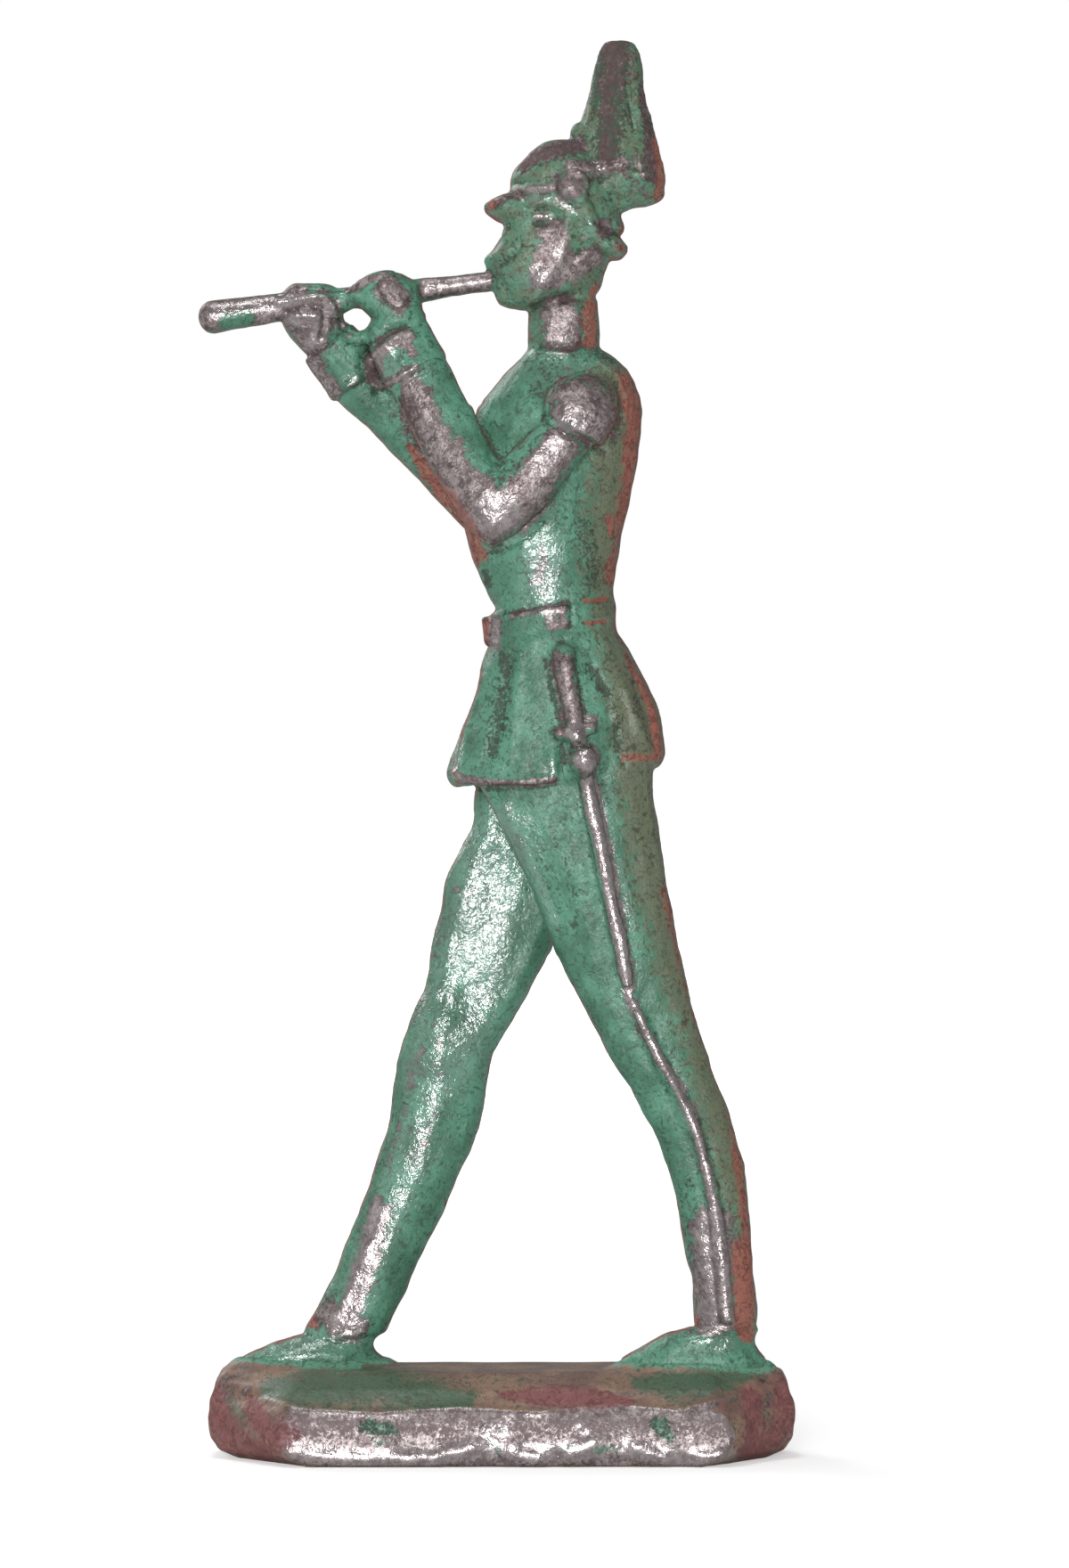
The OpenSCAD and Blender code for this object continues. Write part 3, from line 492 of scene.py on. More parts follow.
# The legs
figure.press([
    ([(568, 903), (597, 966), (623, 1036)], 4, 0.1, NEAR),
    ([(492, 1160), (472, 1260), (434, 1370), (394, 1478)], 24, 0.22, BOTH),
    ([(490, 1160), (470, 1260), (432, 1370), (390, 1478)], 11, -0.07, BOTH),
    ([(558, 950), (545, 1050), (512, 1140)], 38, 0.34, BOTH),
    ([(500, 1120), (484, 1195)], 20, 0.12, BOTH),
    ([(556, 960), (542, 1050), (516, 1130)], 19, -0.13, BOTH),
    ([(608, 560), (607, 665)], 30, 0.18, BOTH),
    ([(607, 600), (606, 665)], 13, -0.06, BOTH),
    ([(300, 1527), (350, 1520), (388, 1523)], 8, 0.12, NEAR),
    ([(752, 1512), (800, 1505)], 8, 0.1, NEAR),
    ([(690, 1170), (745, 1300), (795, 1400), (804, 1480)], 20, 0.14, BOTH),
    ([(660, 875), (682, 970), (706, 1104)], 9, 0.06, NEAR),
    ([(706, 1116), (741, 1189), (779, 1257), (797, 1330), (812, 1400), (822, 1488)],
     5, 0.1, BOTH),
    ([(345, 1500), (380, 1508), (420, 1500)], 4, -0.1, BOTH),
    ([(780, 1493), (815, 1500), (846, 1496)], 4, -0.1, BOTH),
    ([(455, 1205), (480, 1212)], 7, -0.05, BOTH),
    ([(640, 905), (650, 960), (668, 1080)], 16, 0.12, NEAR),
])
# The outline
figure.pull([
    (556, 262, 4, 0, 9), (548, 289, -4, 0, 9), (548, 232, -3, 0, 9), (712, 238, 0, -5, 10),
    (739, 222, 3, 3, 12), (588, 172, 4, 4, 18), (240, 373, 0, 3, 16), (435, 308, 0, -2, 20),
    (533, 462, 0, -6, 8), (524, 925, 8, 0, 26), (505, 988, -5, 0, 22), (478, 1108, 4, 0, 34),
    (622, 1064, 0, 5, 10), (836, 1340, 3, 0, 60), (430, 1514, -5, 0, 12), (343, 1492, -4, 0, 16),
    (745, 1497, 0, -4, 26), (729, 874, 3, 0, 11), (846, 1492, -4, 0, 8), (505, 404, -3, 0, 7),
    (552, 682, 3, 0, 9), (726, 930, 3, 0, 30), (700, 256, 4, 0, 9), (398, 349, 0, -3, 8),
])
# The mould's uneven skin
grain = (
    (0.03 + 0.015 * legs) * ripples(figure.P, size=1.7, seed=1)
    + 0.016 * ripples(figure.P, size=0.7, seed=2, waves=24)
    + 0.007 * ripples(figure.P, size=0.32, seed=3, waves=24)
)
figure.P += figure.N * grain[:, None]
figure.relax(1)
figure.look()

# The base: its rise to the boots, its pits, the lip of its top and the lumps of its near face
base.pull([(809, 1620, 14, 0, 32), (317, 1620, -4, 0, 26)])
base.soften([
    ([(316, 1545), (332, 1582)], 16, 24, ROUND),
    ([(815, 1550), (832, 1582)], 12, 16, ROUND),
])
FOOT_REACH, FOOT_RISE = 0.5, 0.36  # how far about the boots its top rises, and how high
foot = base.close_to(figure, FOOT_REACH) * ease(base.N[:, 2], 0.3, 0.7)
base.P[:, 2] += FOOT_RISE * foot
pits = ripples(base.P, size=0.9, seed=7, waves=24)
pits += 0.6 * ripples(base.P, size=0.45, seed=8, waves=24)
lumps = ripples(base.P, size=1.5, seed=5)
swell = ripples(base.P, size=2.2, seed=9)
near_face = ease(-base.N[:, 1], 0.4, 0.9)
ends = ease(np.abs(base.N[:, 0]), 0.3, 0.7)
above_ground = ease(base.P[:, 2], 0.25, 0.9)
grain = above_ground * (
    near_face * (0.03 * pits + 0.045 * lumps - 0.07 * ease(pits, 1.1, 1.8))
    + ends * 0.03 * pits + 0.03 * swell
)
base.P += base.N * grain[:, None]
base.look()
LIP = [
    (300, 1572), (340, 1584), (420, 1589), (520, 1582),
    (600, 1588), (690, 1578), (760, 1586), (830, 1568),
]
base.press([
    (LIP, 4.5, 0.1, ROUND),
    ([(326, 1632, 0.8), (360, 1640, 1.2), (410, 1642, 0.9), (462, 1640, 1.1)], 11, 0.18, NEAR),
    ([(486, 1640, 1), (530, 1628, 1.2)], 10, 0.16, NEAR),
    ([(580, 1632, 1.2), (604, 1640, 1)], 11, 0.18, NEAR),
    ([(640, 1638, 0.8), (664, 1624, 1.2)], 11, 0.16, NEAR),
    ([(720, 1628, 1), (744, 1638, 0.8)], 11, 0.16, NEAR),
    ([(790, 1640, 1.1), (816, 1636, 0.9)], 11, 0.18, NEAR),
])
base.relax(1)
base.P[:, 2] = np.maximum(base.P[:, 2], 0.0)
base.look()

# Where the figure is worn bare, dirty and painted with shade, red-brown, and rubbed
figure.tint("bare", [
    ([(466, 440, 0.75), (474, 475, 0.9), (494, 510, 1), (520, 545, 1.1), (552, 580, 1.2)],
     24, 1.0, BOTH),
    ([(552, 582, 1.1), (590, 560, 1.1), (612, 525, 0.9), (630, 500, 0.8)], 25, 1.0, BOTH),
    ([(648, 452), (660, 458), (664, 470)], 31, 1.0, BOTH),
    ([(422, 424), (420, 406), (432, 388), (455, 380)], 11, 1.0, NEAR),
    ([(463, 394)], 9, 0.85, NEAR),
    ([(430, 432), (448, 424), (466, 413)], 6, 0.95, NEAR),
    ([(445, 400)], 8, -0.9, NEAR),
    ([(436, 324), (448, 336)], 15, 1.0, NEAR),
    ([(392, 326), (410, 316), (428, 311)], 6, 0.8, BOTH),
    ([(325, 350), (345, 352), (360, 352)], 24, 1.0, BOTH),
    ([(345, 378), (352, 386)], 15, 1.0, BOTH),
    ([(222, 357), (330, 342)], 22, 1.0, BOTH),
    ([(256, 361), (276, 356)], 9, -1.0, NEAR),
    ([(482, 322), (540, 317)], 14, 1.0, BOTH),
    ([(352, 402), (356, 420), (374, 440)], 11, 0.95, BOTH),
    ([(617, 686), (631, 684)], 8, 1.0, BOTH),
    ([(622, 701), (630, 700)], 9, 0.9, BOTH),
    ([(612, 448), (640, 428)], 8, 0.6, BOTH),
    ([(575, 691), (592, 687), (610, 684)], 4, 0.85, BOTH),
    ([(553, 698), (552, 722)], 10, 1.0, BOTH),
    ([(508, 864), (518, 874), (545, 878), (590, 880), (622, 876)], 4, 1.0, BOTH),
    ([(608, 622), (606, 665)], 10, 0.58, BOTH),
    ([(622, 258), (618, 276), (612, 296), (606, 314)], 13, 1.0, BOTH),
    ([(615, 312), (638, 305), (662, 290)], 13, 1.0, BOTH),
    ([(628, 270), (634, 292)], 16, 1.0, BOTH),
    ([(656, 270)], 7, 0.9, BOTH),
    ([(646, 272)], 9, -0.9, NEAR),
    ([(627, 352), (630, 376)], 23, 1.0, BOTH),
    ([(600, 350), (597, 384)], 7, -0.8, BOTH),
    ([(602, 243), (614, 246)], 4, 0.7, BOTH),
    ([(606, 257), (618, 258)], 4, 0.6, BOTH),
    ([(590, 183), (605, 174), (625, 168), (650, 164)], 9, 1.0, BOTH),
    ([(551, 229), (575, 219), (600, 213), (618, 213)], 5, 1.0, BOTH),
    ([(638, 210)], 17, 1.0, BOTH),
    ([(676, 252), (680, 260)], 9, 0.95, BOTH),
    ([(692, 50), (688, 88)], 27, 0.62, BOTH),
    ([(684, 88), (682, 130), (681, 170)], 13, 0.6, BOTH),
    ([(722, 100), (728, 150), (733, 200)], 6, 0.8, BOTH),
    ([(700, 190), (722, 214)], 9, 0.55, BOTH),
    ([(641, 187), (675, 190), (700, 184)], 10, 0.85, BOTH),
    ([(700, 184), (718, 181), (723, 200)], 9, 0.55, BOTH),
    ([(800, 1378), (801, 1490)], 25, 1.0, BOTH),
    ([(370, 1478), (395, 1490)], 18, 0.95, BOTH),
    ([(426, 1358), (416, 1400), (404, 1445), (392, 1470)], 14, 0.88, BOTH),
    ([(704, 1114), (721, 1151), (741, 1189), (762, 1220), (779, 1257), (795, 1320), (806, 1380)],
     6.5, 1.0, BOTH),
    ([(510, 998), (530, 1004)], 9, 0.42, BOTH),
    ([(498, 1010), (480, 1090), (462, 1150)], 8, 0.47, BOTH),
    ([(488, 1150), (494, 1220), (470, 1300)], 10, 0.38, BOTH),
    ([(470, 1180), (452, 1250), (436, 1310)], 8, 0.47, BOTH),
    ([(628, 742), (639, 785), (649, 824)], 13, 1.0, NEAR),
    ([(630, 820), (648, 818), (664, 810)], 7, 1.0, NEAR),
    ([(658, 850)], 16, 1.0, NEAR),
    ([(660, 866), (682, 970), (703, 1090), (707, 1110, 0.5)], 13, 1.0, NEAR),
    ([(644, 872), (666, 970), (690, 1100), (696, 1124)], 4, -0.95, NEAR),
    ([(675, 864), (697, 970), (720, 1100), (725, 1124)], 4, -0.95, NEAR),
    ([(780, 1510), (822, 1510)], 9, -1.0, BOTH),
    ([(611, 736), (617, 768), (622, 790)], 4, -0.95, NEAR),
])
# Dirt, and painted shade: in the skirt's grooves and pleats, under the hem's lip, round the wing
# and the near cuff, down the right-hand sides of the grip and the scabbard, and by the nose and
# mouth
figure.tint("dirt_and_shade", [
    ([(569, 740), (563, 790), (553, 845)], 12, 0.8, BOTH),
    ([(586, 184), (610, 172), (650, 164)], 14, 0.92, BOTH),
    ([(555, 232), (575, 220)], 6, 0.8, BOTH),
    ([(412, 408), (422, 438)], 8, 0.8, NEAR),
    ([(452, 450), (468, 500), (500, 548), (530, 604), (560, 612)], 11, 0.75, NEAR),
    ([(625, 440), (640, 428), (665, 422), (688, 438), (697, 462)], 9, 0.7, BOTH),
    ([(690, 432), (697, 460), (688, 498)], 6, 0.8, BOTH),
    ([(545, 642), (548, 656)], 7, 0.9, NEAR),
    ([(655, 590), (668, 650)], 20, 0.62, BOTH),
    ([(590, 400), (620, 412), (600, 440)], 22, 0.45, BOTH),
    ([(560, 500), (580, 540)], 12, 0.45, BOTH),
    ([(655, 388), (690, 405)], 10, 0.7, BOTH),
    ([(602, 960), (616, 1030)], 14, 0.5, BOTH),
    ([(632, 940), (650, 1040)], 12, 0.4, BOTH),
    ([(520, 1150), (530, 1180)], 16, 0.45, BOTH),
    ([(430, 1240), (400, 1330)], 9, 0.5, BOTH),
    ([(568, 689), (600, 682), (640, 677)], 3, 0.8, BOTH),
    ([(640, 681), (641, 704)], 3, 0.8, BOTH),
    ([(662, 748), (682, 780)], 8, 0.85, BOTH),
    ([(690, 790), (696, 840)], 9, 0.6, BOTH),
    ([(712, 780), (728, 830)], 5, 0.6, BOTH),
    ([(620, 742), (634, 736)], 8, 0.7, NEAR),
    ([(613, 742), (623, 790), (633, 822)], 5, 0.85, NEAR),
    ([(644, 745), (656, 800)], 5, 0.7, NEAR),
    ([(672, 862), (691, 965), (713, 1096)], 5, 1.0, NEAR),
    ([(692, 44), (686, 110), (681, 172)], 24, 0.95, BOTH),
    ([(722, 100), (728, 150), (734, 200)], 9, 0.8, BOTH),
    ([(690, 190), (722, 192)], 8, 0.6, BOTH),
    ([(664, 318), (657, 340), (657, 386)], 9, 0.5, BOTH),
    ([(676, 58), (667, 124)], 9, 0.9, BOTH),
    ([(570, 262), (565, 300), (590, 340)], 26, 0.24, BOTH),
    ([(520, 885), (570, 886), (622, 881)], 4, 0.8, BOTH),
    ([(580, 282), (566, 296)], 8, 0.6, BOTH),
    ([(560, 262), (575, 250)], 6, 0.5, BOTH),
    ([(620, 810), (626, 830)], 4, 0.6, NEAR),
    ([(776, 1330), (768, 1352)], 9, 0.5, BOTH),
])
# The chip on the chest and the belt's streaks are primer; the strokes along the outline, down
# the back, under the far forearm, by the neck and the guard, on the plume, the skirt's edges,
# the rear leg and the boots, are primer with a red reflection and shade painted on these edges
figure.tint("primer_and_rim_reflection", [
    ([(706, 420), (714, 480), (706, 560), (698, 620), (690, 650)], 16, 0.95, BOTH),
    ([(458, 498, 0.3), (478, 528, 0.7), (506, 566, 1), (530, 605, 1), (537, 622, 1)],
     16, 0.85, ROUND),
    ([(683, 583), (686, 598)], 5, 1.0, NEAR),
    ([(702, 262), (706, 280), (696, 298), (674, 326), (663, 348), (663, 384)], 13, 0.85, BOTH),
    ([(738, 160), (743, 200), (738, 222)], 8, 0.9, BOTH),
    ([(657, 675), (680, 672)], 4, 0.95, BOTH),
    ([(657, 700), (680, 697)], 4, 0.95, BOTH),
    ([(700, 850), (722, 851), (745, 847)], 8, 0.8, BOTH),
    ([(704, 735, 0.8), (732, 790, 1), (741, 838, 1.6)], 9, 0.9, BOTH),
    ([(748, 1000), (768, 1090), (790, 1160), (822, 1250), (838, 1380), (843, 1500)],
     9, 0.8, BOTH),
    ([(842, 1395), (838, 1500)], 12, 1.0, BOTH),
    ([(830, 1400), (832, 1488)], 10, 1.0, BOTH),
    ([(545, 698), (544, 722)], 5, 0.95, BOTH),
    ([(552, 226), (549, 236)], 7, 0.8, BOTH),
    ([(240, 1530), (290, 1503), (350, 1486)], 8, 0.95, ROUND),
    ([(696, 1518), (740, 1496), (782, 1484)], 8, 0.8, ROUND),
    ([(506, 850), (512, 880)], 6, 0.7, BOTH),
])
# Rubbed places, glossy, where bare metal is also painted lighter as a highlight
figure.tint("polish_and_highlight", [
    ([(556, 950), (538, 1040), (516, 1140), (490, 1200)], 41, 1.0, BOTH),
    ([(488, 1130), (480, 1230), (452, 1320), (420, 1400), (388, 1490)], 20, 1.0, BOTH),
    ([(608, 612), (606, 670)], 24, 1.0, BOTH),
    ([(556, 572), (570, 592)], 25, 1.0, BOTH),
    ([(605, 520), (625, 500)], 16, 0.5, BOTH),
    ([(640, 478)], 18, 1.0, BOTH),
    ([(430, 380), (440, 420), (462, 418)], 12, 0.9, NEAR),
    ([(240, 352), (315, 338), (365, 335), (377, 350)], 9, 1.0, BOTH),
    ([(330, 356), (358, 354), (354, 384)], 9, 0.9, BOTH),
    ([(482, 322), (545, 316)], 8, 0.5, BOTH),
    ([(657, 850), (646, 826)], 16, 1.0, NEAR),
    ([(660, 880), (682, 970), (706, 1100)], 12, 1.0, NEAR),
    ([(604, 314)], 16, 1.0, BOTH),
    ([(629, 282)], 8, 0.9, BOTH),
    ([(602, 243), (616, 246)], 5, 0.9, BOTH),
    ([(632, 228), (650, 240), (666, 262)], 4, 0.9, BOTH),
    ([(598, 228), (610, 224), (620, 224)], 4, 0.9, BOTH),
    ([(596, 339), (616, 331)], 5, 0.8, BOTH),
    ([(600, 398), (635, 400)], 5, 0.9, BOTH),
    ([(385, 330), (402, 331)], 4, 0.9, NEAR),
    ([(611, 350), (616, 384), (640, 384)], 7, 0.5, BOTH),
    ([(590, 222), (612, 217)], 8, 1.0, BOTH),
    ([(634, 224)], 9, 1.0, BOTH),
    ([(672, 193)], 10, 1.0, BOTH),
    ([(390, 426), (404, 426)], 7, 1.0, BOTH),
    ([(557, 700), (557, 720)], 5, 1.0, BOTH),
    ([(516, 830), (512, 868)], 6, 1.0, BOTH),
    ([(620, 860), (624, 874)], 8, 1.0, BOTH),
    ([(792, 1376), (796, 1490)], 15, 1.0, BOTH),
    ([(706, 1116), (721, 1151), (762, 1220), (795, 1320), (812, 1400), (822, 1490)],
     8, 1.0, BOTH),
    ([(380, 1488)], 16, 0.9, BOTH),
    ([(310, 1525), (360, 1506), (400, 1502)], 14, 0.8, BOTH),
    ([(780, 1500), (820, 1510)], 10, 0.7, BOTH),
    ([(802, 1390), (805, 1480)], 18, 0.5, BOTH),
    ([(618, 470), (632, 482), (660, 492), (680, 505)], 5, 0.8, BOTH),
    ([(500, 960), (490, 1090)], 14, 0.5, BOTH),
])
# The figure's paint has turned behind this line, and on the head and the plume
rows = [380, 640, 800, 1000, 1200, 1400, 1480]
columns = [660, 655, 680, 708, 772, 818, 840]
behind = ease(figure.U - np.interp(figure.V, rows, columns), -28, 34)
head = stretch(figure.V, 140, 170, 380, 400) * ease(figure.U, 540, 560)
plume = (1 - ease(figure.V, 185, 275)) * ease(figure.U, 628, 662)
figure.mark("tone", behind * stretch(figure.V, 385, 425, 1470, 1490))
figure.mark("tone", 0.5 * head)
figure.mark("tone", 0.62 * plume)

# The base is bare on its near and far faces, and leaf green about the boots
base.mark("bare", 0.9 * ease(np.abs(base.N[:, 1]), 0.55, 0.85))
base.mark("leaf", 0.95 * foot)
# Rubbed places along the bottom of the near face and on the lip, where the bare metal is painted
# lighter as a highlight
base.tint("polish_and_highlight", [
    ([(322, 1630), (400, 1638), (470, 1636)], 10, 1.0, NEAR),
    ([(486, 1638), (540, 1626), (560, 1610)], 12, 1.0, NEAR),
    ([(574, 1632), (672, 1630)], 10, 1.0, NEAR),
    ([(652, 1600), (668, 1618)], 9, 0.9, NEAR),
    ([(700, 1626), (770, 1638), (820, 1636)], 11, 1.0, NEAR),
    (LIP, 4, 0.4, ROUND),
])
base.tint("leaf", [
    ([(412, 1602), (440, 1606)], 13, 0.72, NEAR),
    ([(430, 1618)], 12, 0.6, NEAR),
    ([(742, 1600), (752, 1612)], 14, 0.72, NEAR),
    ([(612, 1624), (690, 1630)], 9, 0.45, NEAR),
    ([(540, 1606), (560, 1628)], 10, 0.45, NEAR),
    ([(330, 1532), (400, 1534)], 7, 0.8, ROUND),
    ([(770, 1530), (820, 1532)], 9, 0.8, ROUND),
])
base.tint("tone", [
    ([(298, 1562, 0.4), (350, 1560, 1), (420, 1556, 1.1), (475, 1566, 0.9), (526, 1572, 0.4)],
     27, 1.0, ROUND),
    ([(715, 1554, 0.4), (760, 1556, 1), (800, 1550, 1), (838, 1544, 0.6)], 20, 1.0, ROUND),
    ([(256, 1574), (268, 1588)], 10, 0.7, ROUND),
    ([(858, 1590), (866, 1600)], 14, 0.6, ROUND),
])
base.tint("primer_and_rim_reflection", [
    ([(565, 1566, 0.4), (612, 1569, 1), (665, 1572, 1), (708, 1575, 0.4)], 17, 0.9, ROUND),
    ([(236, 1565), (255, 1620), (300, 1634), (318, 1610)], 26, 0.8, ROUND),
    ([(886, 1560), (880, 1600), (845, 1630)], 26, 0.8, ROUND),
    ([(843, 1564), (848, 1600), (842, 1632)], 15, 0.95, ROUND),
    ([(282, 1576), (296, 1606)], 17, 0.85, ROUND),
])
base.tint("dirt_and_shade", [([(330, 1603), (560, 1603), (816, 1603)], 19, 0.66, NEAR)])

# Every hollow, fine or broad, is darkened as dirt and as painted shade, and edges are worn, but
# not those of the base's top
for clay in (figure, base):
    fine, broad = clay.bend(4), clay.bend(30)
    clay.mark("dirt_and_shade", 0.85 * ease(-fine, 0.004, 0.03))
    clay.mark("dirt_and_shade", 0.7 * ease(-broad, 0.03, 0.16))
    flank = 1 if clay is figure else ease(np.abs(clay.N[:, 1]), 0.5, 0.8)
    clay.mark("bare", 0.6 * flank * ease(fine, 0.016, 0.045))
# The figure's primer shows along its parting faces, the edges that turn away from the front,
# where a red reflection and shade are painted too, and some of its hollows are clean
figure.mark("primer_and_rim_reflection", 0.95 * (1 - ease(np.abs(figure.N[:, 1]), 0.05, 0.42)))
figure.M["dirt_and_shade"] *= 1 - 0.75 * rod
figure.tint("dirt_and_shade", [([(478, 528), (506, 566), (535, 618)], 13, -0.9, ROUND)])
for mask in ("dirt_and_shade", "primer_and_rim_reflection"):
    figure.tint(mask, [([(563, 901), (592, 967), (619, 1036)], 8, -0.85, ROUND)])
figure.tint("polish_and_highlight", [([(568, 906), (596, 967), (623, 1036)], 7, 1.0, ROUND)])

# ---------------------------------------------------------------- materials


class Graph:
    """Short-hand for building one material's nodes."""

    def __init__(self, name):
        self.mat = bpy.data.materials.new(name)
        self.mat.use_nodes = True
        self.tree = self.mat.node_tree
        self.tree.nodes.clear()
        out = self.add("ShaderNodeOutputMaterial")
        self.skin = self.add("ShaderNodeBsdfPrincipled")
        self.link(self.skin.outputs[0], out.inputs[0])
        place = self.add("ShaderNodeTexCoord")
        size = self.add("ShaderNodeMapping")
        size.inputs["Scale"].default_value = (1 / MM, 1 / MM, 1 / MM)
        self.link(place.outputs["Object"], size.inputs["Vector"])
        self.mm = size.outputs[0]

    def add(self, kind, **values):
        node = self.tree.nodes.new(kind)
        for key, value in values.items():
            setattr(node, key, value)
        return node

    def link(self, a, b):
        self.tree.links.new(a, b)

    def put(self, socket, value):
        """Feeds a socket from another one, or with a constant."""
        if isinstance(value, bpy.types.NodeSocket):
            self.link(value, socket)
        else:
            socket.default_value = value

    def noise(self, scale, detail, rough, seed, curl=0.0):
        """Noise of so many lumps to a millimetre, in the casting's own frame."""
        shift = self.add("ShaderNodeMapping")
        shift.inputs["Location"].default_value = (seed * 7.3, seed * 3.1, seed * 5.7)
        self.link(self.mm, shift.inputs["Vector"])
        node = self.add("ShaderNodeTexNoise")
        self.link(shift.outputs[0], node.inputs["Vector"])
        node.inputs["Scale"].default_value = scale
        node.inputs["Detail"].default_value = detail
        node.inputs["Roughness"].default_value = rough
        node.inputs["Distortion"].default_value = curl
        return node.outputs[0]

    def math(self, kind, a, b):
        node = self.add("ShaderNodeMath", operation=kind)
        self.put(node.inputs[0], a)
        self.put(node.inputs[1], b)
        return node.outputs[0]

    def plus(self, a, b):
        return self.math("ADD", a, b)

    def minus(self, a, b):
        return self.math("SUBTRACT", a, b)

    def times(self, a, b):
        return self.math("MULTIPLY", a, b)

    def span(self, value, low, high, to_low=0.0, to_high=1.0):
        """A smooth step between two values of the input."""
        node = self.add("ShaderNodeMapRange", interpolation_type="SMOOTHSTEP")
        self.put(node.inputs["Value"], value)
        node.inputs["From Min"].default_value = low
        node.inputs["From Max"].default_value = high
        node.inputs["To Min"].default_value = to_low
        node.inputs["To Max"].default_value = to_high
        return node.outputs[0]

    def mask(self, name):
        """A mask that was painted on the skin."""
        node = self.add("ShaderNodeAttribute", attribute_type="GEOMETRY", attribute_name=name)
        return node.outputs["Fac"]

    def mix(self, share, a, b):
        """A colour between two, by the node's colour sockets: 6, 7 and 2."""
        node = self.add("ShaderNodeMix", data_type="RGBA")
        self.put(node.inputs[0], share)
        self.put(node.inputs[6], a)
        self.put(node.inputs[7], b)
        return node.outputs[2]

    def blend(self, share, a, b):
        """A number between two, by the node's number sockets: 2, 3 and 0."""
        node = self.add("ShaderNodeMix", data_type="FLOAT")
        self.put(node.inputs[0], share)
        self.put(node.inputs[2], a)
        self.put(node.inputs[3], b)
        return node.outputs[0]


def colour(r, g, b):
    """An sRGB colour, 0 to 255, as the shader takes it."""
    def one(v):
        v /= 255
        return v / 12.92 if v <= 0.04045 else ((v + 0.055) / 1.055) ** 2.4
    return (one(r), one(g), one(b), 1.0)


LEAF = colour(92, 144, 120)
# The last of these is the dark colour of dirt and painted shade on paint
GREEN_DIRT, BROWN_DIRT, DIRT_AND_SHADE_ON_PAINT = colour(46, 72, 58), colour(60, 58, 46), colour(46, 56, 44)
DULL_METAL, CLEAN_METAL = colour(128, 115, 116), colour(164, 155, 154)
METAL_RIM, METAL_DIRT = colour(86, 66, 68), colour(78, 63, 64)


